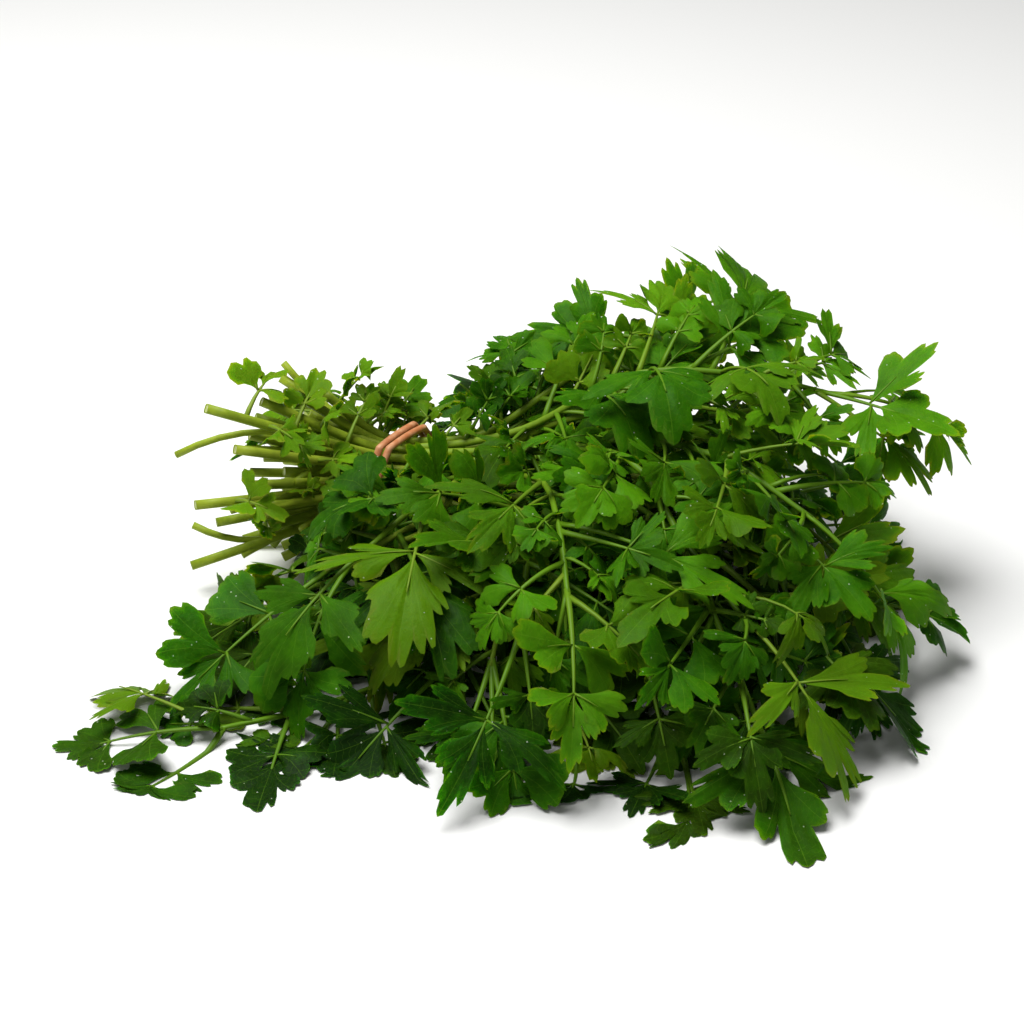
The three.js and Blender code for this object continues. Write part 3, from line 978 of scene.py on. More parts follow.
@dataclass
class BladeMaker:
    """Builds one leaf: lobed leaflets on a winged rib, thin and closed all round."""

    thickness: float = 0.36
    large: Detail = Detail((0.0, 0.24, 0.5, 0.77, 1.0), 3, 4, 6, 10)
    small: Detail = Detail((0.0, 0.34, 0.7, 1.0), 2, 3, 4, 5)
    small_leaf: float = 38.0
    tooth_depth: Range = Range(0.16, 0.3)
    lobe_power: Range = Range(1.9, 1.4)
    lobe_length: Range = Range(0.9, 0.16)
    outer_lobe: float = 0.8
    shoulder: float = 0.55
    shoulder_share: float = 0.6
    notch_depth: Range = Range(0.58, 0.42)
    many_lobes: int = 3
    shallower: float = 0.2
    narrow_base: float = 0.6
    fewer_teeth: int = 2
    side_foot: float = 0.8
    end_foot: float = 0.6
    shortest: float = 0.01
    wave: Range = Range(0.5, 1.6)
    wave_turns: Range = Range(2.2, 1.6)
    droop: Range = Range(-1.0, 4.0)
    rib_radii: tuple[float, float] = (1.0, 0.22)
    side_rib: tuple[float, float] = (0.5, 0.1)
    side_rib_cells: int = 4
    rib_mark: float = 200.0
    rib_flatness: float = 0.72
    vein_reach: float = 0.4

    def is_broad(self, leaflet: Leaflet) -> bool:
        """Whether a leaflet has so many lobes that its notches are shallow and its teeth few."""
        return len(leaflet.edge) > 2 * self.many_lobes

    def rim(
        self, leaflet: Leaflet, detail: Detail, dice: Dice
    ) -> list[tuple[float, float, float]]:
        """The leaflet's fine edge: broad lobes that end in small blunt teeth.

        Args:
            leaflet: the leaflet.
            detail: how finely it is made.
            dice: draws for its notches, lobes and teeth.

        Returns:
            The angle, the share of the length, and the place counted in lobes, edge to edge.
        """
        edge = leaflet.edge
        gap = abs(edge[-1][0] - edge[0][0]) / (len(edge) - 1)
        first, last = edge[0], edge[-1]
        notches = self.notch_depth
        if self.is_broad(leaflet):
            notches = Range(notches.least + self.shallower, notches.range)
        two_lobes = len(edge) == 3
        shorter = 1.0 if two_lobes else self.outer_lobe
        marks = [
            (first[0] - self.shoulder * 2 * gap, first[1] * shorter * self.shoulder_share),
            *((angle, share * (notches if mark % 2 else self.lobe_length).at(dice())
               * mix(1.0, shorter, abs(2 * mark / (len(edge) - 1) - 1)))
              for mark, (angle, share) in enumerate(edge)),
            (last[0] + self.shoulder * 2 * gap, last[1] * shorter * self.shoulder_share),
        ]
        cells = detail.cells * detail.teeth
        rim = []
        for lobe in range(len(marks) // 2):
            before, tip, after = marks[2 * lobe:2 * lobe + 3]
            power = self.lobe_power.at(dice())
            depths = [self.tooth_depth.at(dice()) for _ in range(detail.teeth)]
            for cell in range(cells):
                place = 2 * cell / cells - 1
                tooth = abs(math.sin(math.pi * cell / detail.cells))
                full = 1 - abs(place)**power
                full *= 1 - depths[cell // detail.cells] * (1 - tooth)
                notch = before if place < 0 else after
                rim.append((
                    mix(tip[0], notch[0], abs(place)), mix(notch[1], tip[1], full),
                    lobe + cell / cells,
                ))
        rim.append((*marks[-1], float(len(marks) // 2)))
        return rim

    def leaflet(self, mesh: PieceMesh, leaf: Leaf, leaflet: Leaflet, tone: Tone, dice: Dice) -> None:
        """Adds one leaflet, as an upper and an under side that meet all round the edge.

        Args:
            mesh: the piece's mesh.
            leaf: the leaf as it lies.
            leaflet: the leaflet.
            tone: its colour tone.
            dice: draws for its edge and its waves.
        """
        detail = self.small if leaf.length < self.small_leaf else self.large
        if self.is_broad(leaflet):
            detail = detail._replace(teeth=self.fewer_teeth)
        rim = self.rim(leaflet, detail, dice)
        rows = detail.rows
        cells = len(rim) - 1
        phase, wave, droop = dice() * math.tau, self.wave.at(dice()), self.droop.at(dice())
        turns = self.wave_turns.at(dice())
        foot = self.side_foot if leaflet.side else self.end_foot

        def lie(column: int, row: int) -> tuple[int, float]:
            """The mark on the rim and the share of the way to it: the underside runs back."""
            return (column if column <= cells else 2 * cells - column), rows[row]

        def place(column: int, row: int) -> Vector:
            """A point of the leaflet, which is thickest half way to its edge.

            Args:
                column: the column, up to cells on top and past it underneath.
                row: the row, from the root to the rim.

            Returns:
                The point, in millimetres.
            """
            mark, share = lie(column, row)
            angle, reach, _ = rim[mark]
            aside = 2 * mark / cells - 1
            along = max(share * reach * leaflet.length, self.shortest)
            narrowed = angle * share**self.narrow_base + math.degrees(
                math.atan2(foot * aside * (1 - share) ** 2, along + foot))
            inside = min(1.0, 4 * share * (1 - share)) * (0 < mark < cells)
            under = -1 if column > cells else 1
            ripple = wave * share * math.sin(phase + turns * (aside * share + 0.5 * share))
            ripple -= droop * (aside * share) ** 2
            return leaf.on_leaflet(
                leaflet, narrowed, along, 0.5 * self.thickness * inside * under, ripple)

        def mark_of(column: int, row: int) -> tuple[float, float, float]:
            """The place in lobes, the millimetres from the root and the share of the way out."""
            mark, share = lie(column, row)
            return rim[mark][2], share * leaflet.length, share

        mesh.grid(
            2 * cells, len(rows) - 1, place, mark_of,
            lambda column: Skin.UPPER if column < cells else Skin.UNDERSIDE, tone,
        )

    def rib(
        self,
        mesh: PieceMesh,
        path: Callable[[float], Vector],
        length: float,
        radii: tuple[float, float],
        sides: int,
        rings: int,
        tone: Tone,
        across: Vector,
    ) -> None:
        """Adds a tapering rib. Its material takes it for a part high up on the stem.

        Args:
            mesh: the piece's mesh.
            path: the point at a distance along the rib.
            length: its length.
            radii: its radii at the root and at the tip.
            sides: how many sides it has.
            rings: how many rings follow its first.
            tone: its colour tone.
            across: the direction that its sections stay square to.
        """
        shares = [ring / rings for ring in range(rings + 1)]
        widths = [mix(*radii, share) for share in shares]
        mesh.tube(
            [path(share * length) for share in shares],
            [oval(sides, width, width * self.rib_flatness) for width in widths],
            across, tone, [self.rib_mark + share * length for share in shares],
        )

    def leaf(self, mesh: PieceMesh, leaf: Leaf, tone: Tone, dice: Dice) -> None:
        """Adds one whole leaf.

        Args:
            mesh: the piece's mesh.
            leaf: the leaf as it lies.
            tone: its colour tone.
            dice: draws for the details of its edges.
        """
        last = leaf.leaflets[-1]
        detail = self.small if leaf.length < self.small_leaf else self.large
        for leaflet in leaf.leaflets:
            self.leaflet(mesh, leaf, leaflet, tone, dice)
            if leaflet.side:
                self.rib(
                    mesh, lambda along, leaflet=leaflet: leaf.on_leaflet(leaflet, 0, along),
                    leaflet.length * self.vein_reach, self.side_rib, self.side_rib_cells,
                    self.side_rib_cells, tone, leaf.up,
                )
        self.rib(
            mesh, lambda along: leaf.point(along, 0),
            last.root + last.length * self.vein_reach, self.rib_radii,
            detail.rib_sides, detail.rib_rings, tone, leaf.up,
        )


@dataclass
class StemMaker:
    """Builds one stem: ribbed all along, cut across at its end, with paler pith inside."""

    sides: int = 12
    ribs: int = 4
    rib_height: float = 0.07
    rings: int = 44
    slimness: float = 0.84
    knob_height: float = 0.05
    knob_turns: float = 9.0
    skin_width: float = 0.4
    hollow: float = 0.25
    shoots: int = 2
    shoot_from: Range = Range(0.2, 0.08)
    shoot_length: Range = Range(18, 22)
    shoot_turn: float = 34.0
    shoot_radii: tuple[float, float] = (0.9, 1.15)
    shoot_rings: int = 6
    shoot_sides: int = 8
    shoot_mark: float = 20.0

    def stem(self, mesh: PieceMesh, growth: Growth, curve: Curve, tone: Tone, dice: Dice) -> None:
        """Adds the stem along its curve.

        Args:
            mesh: the piece's mesh.
            growth: the growth rule, for the radii.
            curve: the stem's middle line.
            tone: its colour tone.
            dice: draws for its ribs.
        """
        shares = [ring / self.rings for ring in range(self.rings + 1)]
        phase = dice() * math.tau
        stretch = curve.lengths[-1]
        rings = []
        for share in shares:
            knob = 1 + self.knob_height * math.sin(phase + self.knob_turns * share)
            radius = growth.radius(share) * self.slimness * knob
            outline = []
            for side in range(self.sides):
                turn = math.tau * side / self.sides
                ribbed = radius * (1 + self.rib_height * math.cos(self.ribs * turn + phase))
                outline.append((ribbed * math.cos(turn), ribbed * math.sin(turn)))
            rings.append(outline)
        mesh.tube(
            [curve.at(share) for share in shares], rings, UP, tone,
            [share * stretch for share in shares],
        )

    def shoot(
        self, mesh: PieceMesh, curve: Curve, floor: float, tone: Tone, dice: Dice
    ) -> None:
        """Adds a cut-off leaf stalk, which forks from the stem and pales to its own cut end.

        Args:
            mesh: the piece's mesh.
            curve: the stem's middle line.
            floor: how low the stalk may lie, in millimetres.
            tone: its colour tone.
            dice: draws for how it lies.
        """
        knots = curve.share_of_length(self.shoot_from.at(dice()))
        root, back = curve.at(knots), -curve.tangent(knots)
        across = turned(back.cross(UP).normalized(), back, 360 * dice())
        way = turned(back, across, self.shoot_turn * dice())
        length = self.shoot_length.at(dice())
        shares = [ring / self.shoot_rings for ring in range(self.shoot_rings + 1)]
        radii = [mix(*self.shoot_radii, share) for share in shares]
        middles = []
        for share in shares:
            middle = root + back.lerp(way, share).normalized() * (share * length)
            middle.z = max(middle.z, floor)
            middles.append(middle)
        mesh.tube(
            middles, [oval(self.shoot_sides, radius, radius) for radius in radii], UP, tone,
            [self.shoot_mark * (1 - share) for share in shares],
        )

    def open_pith(self, mesh: PieceMesh, caps: Sequence[bmesh.types.BMFace]) -> None:
        """Shows the paler pith in the stem's cut end.

        Args:
            mesh: the piece's mesh, closed.
            caps: the faces that close its tubes.
        """
        cut = [cap for cap in caps if len(cap.verts) == self.sides]
        end = min(cut, key=lambda cap: min(vert[mesh.place][1] for vert in cap.verts))
        bmesh.ops.inset_region(mesh.mesh, faces=[end], thickness=self.skin_width * MM, depth=0.0)
        end.material_index = Skin.PITH
        inward = -end.normal * self.hollow * MM
        bmesh.ops.translate(mesh.mesh, verts=end.verts[:], vec=inward)


@dataclass
class RubberBand:
    """One endless rubber band, wound twice round the stems and crossing over itself."""

    growth: Growth
    radius: float = 1.15
    strand_gap: float = 3.4
    cross_lift: float = 1.25
    skew: float = 22.0
    clearance: float = 1.35
    turns: int = 2
    corners: int = 6
    steps: int = 9
    rings: int = 216
    sides: int = 10
    flatness: float = 0.9
    crossing: float = -45.0

    def curve(self, crossing: float = 0.0) -> Curve:
        """The middle line of the band: two turns round the stems.

        Args:
            crossing: how far round the turns cross, in degrees from where the solid's do.

        Returns:
            The line, closed.
        """
        growth = self.growth
        corner = (len(growth.stems_in_row) - 1) / 2 * growth.spacing
        off = growth.radius_tie + self.clearance + self.radius
        stems, across = level(growth.tie_heading), level(growth.tie_heading + 90)
        total = self.turns * self.corners * self.steps
        corner_angle = 360 / self.corners
        points = []
        for step in range(total):
            turn = step // self.steps
            share = step / self.steps - turn
            start = math.radians(corner_angle * turn)
            end = math.radians(corner_angle * (turn + 1))
            sway = math.sin(math.pi * (share - 0.5))
            facing = start + math.radians(corner_angle / 2) * (1 + sway)
            place = (sway + 1) / 2
            aside = corner * mix(math.cos(start), math.cos(end), place) + off * math.cos(facing)
            up = corner * mix(math.sin(start), math.sin(end), place) + off * math.sin(facing)
            phase = math.tau * step / total + math.radians(crossing)
            lift = 1 + self.cross_lift * math.sin(phase) / math.hypot(aside, up)
            points.append(
                growth.tie + across * (aside * lift) + UP * (up * lift)
                + stems * (self.strand_gap / 2 * math.cos(phase)
                           + aside * math.tan(math.radians(self.skew)))
            )
        return Curve(points, closed=True)

    def middle(self, solid_rings: int = 60, solid_sides: int = 5) -> Vector:
        """The middle of the box of the band's solid, in the growth rule's own place.

        Args:
            solid_rings: how many rings the solid has.
            solid_sides: how many sides its section has.

        Returns:
            The middle, in millimetres.
        """
        curve = self.curve()
        across = level(self.growth.tie_heading)
        corners = []
        for ring in range(solid_rings):
            share = ring / solid_rings
            middle, way = curve.at(share), curve.tangent(share)
            sideways = way.cross(across).normalized()
            upwards = sideways.cross(way)
            for side in range(solid_sides):
                angle = math.tau * side / solid_sides
                corners.append(
                    middle + self.radius * (sideways * math.sin(angle) - upwards * math.cos(angle))
                )
        low, high = box_of(corners)
        return (low + high) / 2

    def build(self, shift: Vector, material: bpy.types.Material) -> bpy.types.Object:
        """The band as one finished piece.

        Args:
            shift: from the growth rule's origin to the frame's, in millimetres.
            material: its rubber.

        Returns:
            The piece.
        """
        mesh = PieceMesh(shift)
        curve = self.curve(self.crossing)
        shares = [ring / self.rings for ring in range(self.rings + 1)]
        outline = oval(self.sides, self.radius * self.flatness, self.radius)
        mesh.tube(
            [curve.at(share) for share in shares], [outline] * len(shares),
            level(self.growth.tie_heading), Tone(0.5, 0.5, 0.5),
            [share * curve.lengths[-1] for share in shares],
            skin=Skin.UPPER, closed=True,
        )
        mesh.close()
        return mesh.piece("band_of_rubber", [material])


# ---- Which leaves there are ----


class SolidLeaves:
    """Finds which try at a leaf a node's solid holds, by the corners of its last leaflet."""

    TOLERANCE = 0.06

    def __init__(self, node: bpy.types.Object, shift: Vector) -> None:
        """Sorts the node's corners.

        Args:
            node: the node of a leafy stem.
            shift: from the growth rule's origin to the frame's, in millimetres.
        """
        self.corners = KDTree(len(node.data.vertices))
        for index, vert in enumerate(node.data.vertices):
            self.corners.insert(vert.co / MM - shift, index)
        self.corners.balance()

    def holds(self, leaf: Leaf) -> bool:
        """Whether the solid has three corners of this leaf's last leaflet.

        Args:
            leaf: a try at a leaf.

        Returns:
            True if it has.
        """
        last = leaf.leaflets[-1]
        for mark in (len(last.edge) // 2, 0, len(last.edge) - 1):
            angle, share = last.edge[mark]
            corner = leaf.on_leaflet(last, angle, share * last.length, leaf.thickness / 2)
            if self.corners.find(corner)[2] > self.TOLERANCE:
                return False
        return True

    def find(self, places: LeafPlaces, stem: StemPlace, curve: Curve) -> list[Leaf]:
        """The leaves that the solid of a stem holds.

        Args:
            places: the rule by which the leaves were tried.
            stem: the stem.
            curve: its middle line.

        Returns:
            The leaves, the tip's first.
        """
        found = []
        for slot in places.slots(stem):
            tries = (places.attempt(stem, curve, slot, attempt) for attempt in range(places.tries))
            leaf = next((leaf for leaf in tries if self.holds(leaf)), None)
            if leaf:
                found.append(leaf)
        return found


class Sheet:
    """A leaf's blade as a thin sheet, to find what it would cut."""

    ROOT = 1.2
    STALK_WIDTH = 0.8
    STALK_STEPS = 4
    GAP = 0.15

    def __init__(self, leaf: Leaf, bare: float = 5.0) -> None:
        """Lays out the leaf's leaflets and rib.

        Args:
            leaf: the leaf.
            bare: how much of its stalk is left out, because stalks crowd at a stem.
        """
        points: list[Vector] = []
        faces: list[list[int]] = []

        def add(face: Sequence[Vector]) -> None:
            """Adds one face."""
            faces.append(list(range(len(points), len(points) + len(face))))
            points.extend(face)

        for leaflet in leaf.leaflets:
            add([
                leaf.on_leaflet(leaflet, 0, self.ROOT),
                *(leaf.on_leaflet(leaflet, angle, share * leaflet.length)
                  for angle, share in leaflet.edge),
            ])
        last = leaf.leaflets[-1]
        steps = [mix(min(bare, last.root), last.root, step / self.STALK_STEPS)
                 for step in range(self.STALK_STEPS + 1)]
        for start, end in pairwise(steps):
            add([leaf.point(start, -self.STALK_WIDTH), leaf.point(start, self.STALK_WIDTH),
                 leaf.point(end, self.STALK_WIDTH), leaf.point(end, -self.STALK_WIDTH)])
        self.points = points
        self.tree = BVHTree.FromPolygons(points, faces, epsilon=self.GAP)
        self.low, self.high = box_of(points)

    def meets(self, other: "Sheet") -> bool:
        """Whether this sheet cuts another.

        Args:
            other: the other leaf's sheet.

        Returns:
            True if the two cross or nearly touch.
        """
        apart = any(
            self.low[axis] > other.high[axis] or other.low[axis] > self.high[axis]
            for axis in range(3)
        )
        return not apart and bool(self.tree.overlap(other.tree))


class Spray(NamedTuple):
    """One leaf of its own: the stem and place that it grows from, how it lies, its form."""

    stem: int
    place: float
    heading: float
    pitch: float
    roll: float
    form: int
    length: float
    bend: float = 20.0


class Round(NamedTuple):
    """One round of more leaves: their size, where they grow and how many tries each gets."""

    length: float
    places: tuple[float, ...]
    tries: int
    first_row: int = 0
    last_row: int = 6
    yellow: float = 0.0


@dataclass
class Filling:
    """More leaves between those of the solids, wherever there is room for them."""

    places: LeafPlaces
    solids: BVHTree
    limits: tuple[Vector, Vector]
    band_top: Vector
    # The gap that the band shows through: its way from the band's top, its radius and length.
    open_way: Vector = field(default_factory=lambda: Vector((0.0, -0.866, 0.5)))
    open_radius: float = 9.0
    open_length: float = 110.0
    over_pile: float = 12.0
    forms: tuple[LeafForm, ...] = (
        LeafForm((0.42, 0.64), 2, 0.36, 3, 0.64, 34),
        LeafForm((0.54,), 3, 0.42, 3, 0.56, 36),
        LeafForm((0.5,), 3, 0.44, 5, 0.52, 42),
        LeafForm((0.38,), 2, 0.42, 3, 0.48, 38),
        LeafForm((0.34,), 3, 0.56, 3, 0.42, 44),
    )
    common_forms: int = 4
    spread: float = 24.0
    # Leaves laid one by one where the rounds would leave the outline or the hump of the pile bare.
    sprays: tuple[Spray, ...] = (
        Spray(12, 0.97, -34, -10, 0, 1, 62), Spray(7, 0.93, -50, 0, 0, 1, 54),
        Spray(19, 0.99, -52, -14, 0, 2, 56), Spray(3, 0.98, -20, 2, 20, 1, 44),
        Spray(1, 0.99, 150, 12, 10, 1, 46), Spray(1, 0.88, -98, 0, 0, 3, 44),
        Spray(1, 0.8, -86, 2, 0, 0, 38), Spray(10, 0.99, -120, -4, 0, 1, 50),
        Spray(36, 0.97, -34, 2, 10, 4, 44, 8), Spray(37, 0.1, 170, 6, -10, 1, 34),
        Spray(37, 0.2, 60, 30, 20, 3, 30), Spray(33, 0.2, 110, 10, 10, 1, 32),
        Spray(27, 0.12, 120, 12, 0, 1, 34), Spray(31, 0.1, 190, 4, 20, 1, 30),
        Spray(36, 0.66, 60, 30, 40, 1, 50), Spray(37, 0.98, 172, 2, -36, 4, 46),
        Spray(33, 0.98, 190, 6, -30, 1, 42), Spray(33, 0.8, 150, 10, -20, 1, 38),
        Spray(37, 0.9, 8, 14, 44, 4, 52), Spray(37, 0.84, -56, 14, 0, 4, 50, 40),
        Spray(36, 0.56, -68, 40, 0, 4, 46, 80), Spray(36, 0.68, -88, 42, 0, 4, 48, 80),
        Spray(36, 0.8, -60, 40, 0, 4, 44, 80), Spray(36, 0.74, 14, 16, 44, 4, 52),
        Spray(36, 0.5, -80, 8, 0, 1, 46), Spray(36, 0.6, -60, 0, 0, 2, 46),
        Spray(36, 0.44, -100, 10, 0, 3, 40), Spray(32, 0.8, 40, 24, 30, 1, 44),
        Spray(37, 0.6, 100, 24, 0, 1, 44), Spray(2, 0.95, -110, -1, 0, 1, 42),
        Spray(2, 0.84, -70, 0, 0, 2, 40), Spray(6, 0.99, -102, -6, 0, 1, 46),
        Spray(6, 0.9, -66, -6, 0, 3, 44), Spray(11, 0.99, -104, -16, 0, 2, 48),
        Spray(17, 0.99, -80, -22, 0, 1, 46), Spray(5, 0.9, -104, -6, 0, 1, 42),
        Spray(12, 0.99, -70, -14, 0, 1, 46), Spray(24, 0.99, -96, -34, 0, 1, 50),
        Spray(30, 0.99, -84, -36, 0, 2, 54), Spray(18, 0.99, -76, -26, 0, 1, 48),
        Spray(2, 0.99, -84, -1, 0, 1, 40), Spray(35, 0.9, -110, -10, 0, 1, 44),
        Spray(11, 0.9, -128, -12, 0, 1, 44), Spray(35, 0.86, -8, -12, 0, 1, 54),
        Spray(6, 0.99, -140, -5, 0, 1, 48), Spray(1, 0.75, -72, 0, 0, 1, 50),
        Spray(1, 0.66, -58, 1, 0, 2, 50), Spray(11, 0.99, -90, -18, 0, 1, 60),
        Spray(2, 0.9, -128, -1, 0, 2, 44), Spray(17, 0.99, -120, -24, 0, 1, 52),
        Spray(24, 0.9, -112, -30, 0, 1, 56), Spray(30, 0.9, -106, -34, 0, 1, 56),
        Spray(31, 0.5, -70, 6, 10, 1, 46), Spray(31, 0.62, -50, 24, 10, 2, 46, 60),
        Spray(25, 0.6, -80, 30, 0, 1, 42, 60), Spray(32, 0.6, -60, 8, 10, 1, 44),
    )
    spray_tries: int = 48
    spray_turn: float = 1.4
    spray_pitch: float = 0.8
    spray_roll: float = 2.0
    spray_fold: float = 0.1
    spray_bare: float = 16.0
    smallest_try: float = 0.6
    roll: tuple[float, float] = (50.0, 120.0)
    pitch: tuple[float, float] = (30.0, 64.0)
    bend: Range = Range(15, 75)
    fold: Range = Range(0.05, 0.5)
    any_heading: tuple[float, float] = (-400.0, 400.0)
    seed_step: int = 10
    # Large leaves come first, then smaller ones in the gaps, by the tie and at the low edge.
    rounds: tuple[Round, ...] = (
        Round(48.0, (0.4, 0.48, 0.56, 0.64, 0.72, 0.8, 0.88, 0.96), 14),
        Round(36.0, (0.36, 0.44, 0.52, 0.6, 0.68, 0.76, 0.84, 0.92, 0.99), 12),
        Round(26.0, (0.1, 0.16, 0.22, 0.28, 0.34), 12, 2, 6, 0.45),
        Round(32.0, (0.38, 0.43, 0.48, 0.53, 0.58, 0.63), 16, 5, 6),
        Round(27.0, (0.42, 0.5, 0.58, 0.66, 0.74, 0.82, 0.9), 10, 1, 6),
        Round(34.0, (0.62, 0.7, 0.78, 0.86, 0.94), 16, 0, 2),
    )
    seed: int = 21
    taken: list[Sheet] = field(default_factory=list)

    def rule(self) -> LeafRule:
        """The rule for the extra leaves: broader leaflets than in the solids."""
        return replace(self.places.rule, forms=self.forms, common_forms=self.common_forms,
                       spread=self.spread)

    def fits(self, sheet: Sheet) -> bool:
        """Whether a leaf is inside the bunch's own form and clear of everything.

        Args:
            sheet: the leaf's sheet.

        Returns:
            True if there is room.
        """
        inside = all(
            self.limits[0][axis] <= sheet.low[axis] and sheet.high[axis] <= self.limits[1][axis]
            for axis in range(3)
        )
        return inside and not self.stands_out(sheet) and self.is_clear(sheet)

    def is_clear(self, sheet: Sheet) -> bool:
        """Whether a leaf is clear of the band's gap, the solids and every other leaf.

        Args:
            sheet: the leaf's sheet.

        Returns:
            True if it meets none of them.
        """
        return (
            not self.hides_band(sheet)
            and not self.solids.overlap(sheet.tree)
            and not any(sheet.meets(other) for other in self.taken)
        )

    def stands_out(self, sheet: Sheet) -> bool:
        """Whether a leaf would stand up out of the pile.

        Args:
            sheet: the leaf's sheet.

        Returns:
            True if any of its points would.
        """
        growth = self.places.growth
        for point in sheet.points:
            away = point - growth.tie
            heading = math.degrees(math.atan2(away.y, away.x))
            if growth.fan[0].heading <= heading <= growth.fan[-1].heading:
                fan = growth.fan_at(heading)
                share = math.hypot(away.x, away.y) / fan.reach
                if point.z > growth.pile_height(fan, share) + self.over_pile:
                    return True
        return False

    def hides_band(self, sheet: Sheet) -> bool:
        """Whether a leaf would close the gap in the foliage that the band shows through.

        Args:
            sheet: the leaf's sheet.

        Returns:
            True if any of its points lies in the gap.
        """
        for point in sheet.points:
            along = (point - self.band_top).dot(self.open_way)
            off = (point - self.band_top - self.open_way * along).length
            if 0 < along < self.open_length and off < self.open_radius:
                return True
        return False

    def grow(
        self, size: Round, seed: int, stem: StemPlace, curve: Curve, slot: int
    ) -> Leaf | None:
        """The leaf at one place of a stem, if one of its tries fits.

        Args:
            size: the round that the leaf is of.
            seed: the number of the round's draws.
            stem: the stem.
            curve: its middle line.
            slot: the place's number.

        Returns:
            The leaf, or None where there is no room.
        """
        # The rule takes its last place for the stem's tip, so one more stands after these.
        places = replace(
            self.places, rule=self.rule(), length=size.length, places=(*size.places, 1.0),
            tries=size.tries, wide_tries=size.tries, shape_seed=seed, try_seed=seed + 1,
            wishes={}, smallest_try=self.smallest_try, roll=self.roll, pitch=self.pitch,
            bend=self.bend, fold=self.fold, inward_from=self.any_heading,
        )
        for attempt in range(size.tries):
            leaf = places.attempt(stem, curve, slot, attempt)
            sheet = Sheet(leaf)
            if self.fits(sheet):
                self.taken.append(sheet)
                return leaf
        return None

    def lay(self, spray: Spray, curve: Curve) -> Leaf | None:
        """Lays one leaf of its own, a little aside or shorter where it must.

        Args:
            spray: the leaf's stem, place and lie.
            curve: the stem's middle line.

        Returns:
            The leaf, or None where there is no room.
        """
        shape = (self.seed, spray.stem, int(100 * spray.place))
        root = curve.at(curve.share_of_length(spray.place))
        for attempt in range(self.spray_tries):
            dice = Dice(*shape, attempt)
            ahead = level(spray.heading + dice.about(self.spray_turn * attempt))
            pitch = spray.pitch + dice.about(self.spray_pitch * attempt)
            forward = turned(ahead, UP.cross(ahead), -pitch)
            roll = spray.roll + dice.about(self.spray_roll * attempt)
            aside = turned(UP.cross(forward).normalized(), forward, roll)
            length = spray.length * mix(1, self.smallest_try, attempt / self.spray_tries)
            leaf = Leaf(
                root=root, forward=forward, side=aside, up=forward.cross(aside), length=length,
                bend=math.radians(spray.bend), fold=self.spray_fold,
                leaflets=self.rule().leaflets(self.forms[spray.form], length, Dice(*shape)),
            )
            sheet = Sheet(leaf, self.spray_bare)
            if self.is_clear(sheet):
                self.taken.append(sheet)
                return leaf
        return None

    def fill(
        self, stems: Sequence[StemPlace], curves: Sequence[Curve]
    ) -> list[tuple[int, Leaf, float]]:
        """Every leaf that finds room: the sprays first, then round by round.

        Args:
            stems: the stems.
            curves: their middle lines.

        Returns:
            The place of its stem in the list, the leaf, and how yellow it is at least.
        """
        found = []
        for spray in self.sprays:
            leaf = self.lay(spray, curves[spray.stem - 1])
            LOG.info("spray on stem %d: %s", spray.stem, "laid" if leaf else "no room")
            if leaf:
                found.append((spray.stem - 1, leaf, 0.0))
        for number, size in enumerate(self.rounds):
            for slot in range(len(size.places) - 1, -1, -1):
                for owner in range(len(stems) - 1, -1, -1):
                    if not size.first_row <= stems[owner].row <= size.last_row:
                        continue
                    seed = self.seed + self.seed_step * number
                    leaf = self.grow(size, seed, stems[owner], curves[owner], slot)
                    if leaf:
                        found.append((owner, leaf, size.yellow))
            LOG.info("more leaves by round %d: %d", number + 1, len(found))
        return found


# ---- Finishes ----


class Kind(Enum):
    """The kinds of node that the materials are made of."""

    ATTRIBUTE = "ShaderNodeAttribute"
    BUMP = "ShaderNodeBump"
    COORDINATES = "ShaderNodeTexCoord"
    MAP_RANGE = "ShaderNodeMapRange"
    MATH = "ShaderNodeMath"
    MIX = "ShaderNodeMix"
    NOISE = "ShaderNodeTexNoise"
    SEPARATE = "ShaderNodeSeparateXYZ"
    VORONOI = "ShaderNodeTexVoronoi"


MIX_COLOURS = {"data_type": "RGBA"}
TIMES = {"operation": "MULTIPLY"}
TIMES_PLUS = {"operation": "MULTIPLY_ADD"}
BELOW = {"operation": "LESS_THAN"}


def linear(colour: str) -> tuple[float, float, float, float]:
    """The linear colour of an sRGB hex value.

    Args:
        colour: the value, with its # in front.

    Returns:
        Red, green, blue and full opacity.
    """
    parts = [int(colour[i:i + 2], 16) / 255 for i in (1, 3, 5)]
    red, green, blue = (
        part / 12.92 if part <= 0.04045 else ((part + 0.055) / 1.055) ** 2.4 for part in parts
    )
    return red, green, blue, 1.0


def per_mm(size: float) -> float:
    """The scale of a pattern on coordinates in metres, from its size in millimetres."""
    return 1 / (size * MM)


def add_node(
    tree: bpy.types.NodeTree,
    kind: Kind,
    settings: dict[str, object] | None = None,
    feeds: bpy.types.NodeSocket | None = None,
    **inputs: object,
) -> bpy.types.Node:
    """Adds a node with its settings and links.

    Args:
        tree: the material's nodes.
        kind: the kind of node.
        settings: its own settings, by name.
        feeds: the input that its first output in use goes to, if any.
        **inputs: its inputs, as numbers, colours, outputs, or nodes for their first output in
            use. A name is the input's, with _ for a space, or in_ and its number.

    Returns:
        The node.
    """
    node = tree.nodes.new(kind.value)
    for name, value in (settings or {}).items():
        setattr(node, name, value)
    for name, value in inputs.items():
        socket = node.inputs[int(name[3:]) if name.startswith("in_") else name.replace("_", " ")]
        if isinstance(value, bpy.types.Node):
            value = next(output for output in value.outputs if output.enabled)
        if isinstance(value, bpy.types.NodeSocket):
            tree.links.new(value, socket)
        else:
            socket.default_value = value
    if feeds:
        tree.links.new(next(output for output in node.outputs if output.enabled), feeds)
    return node


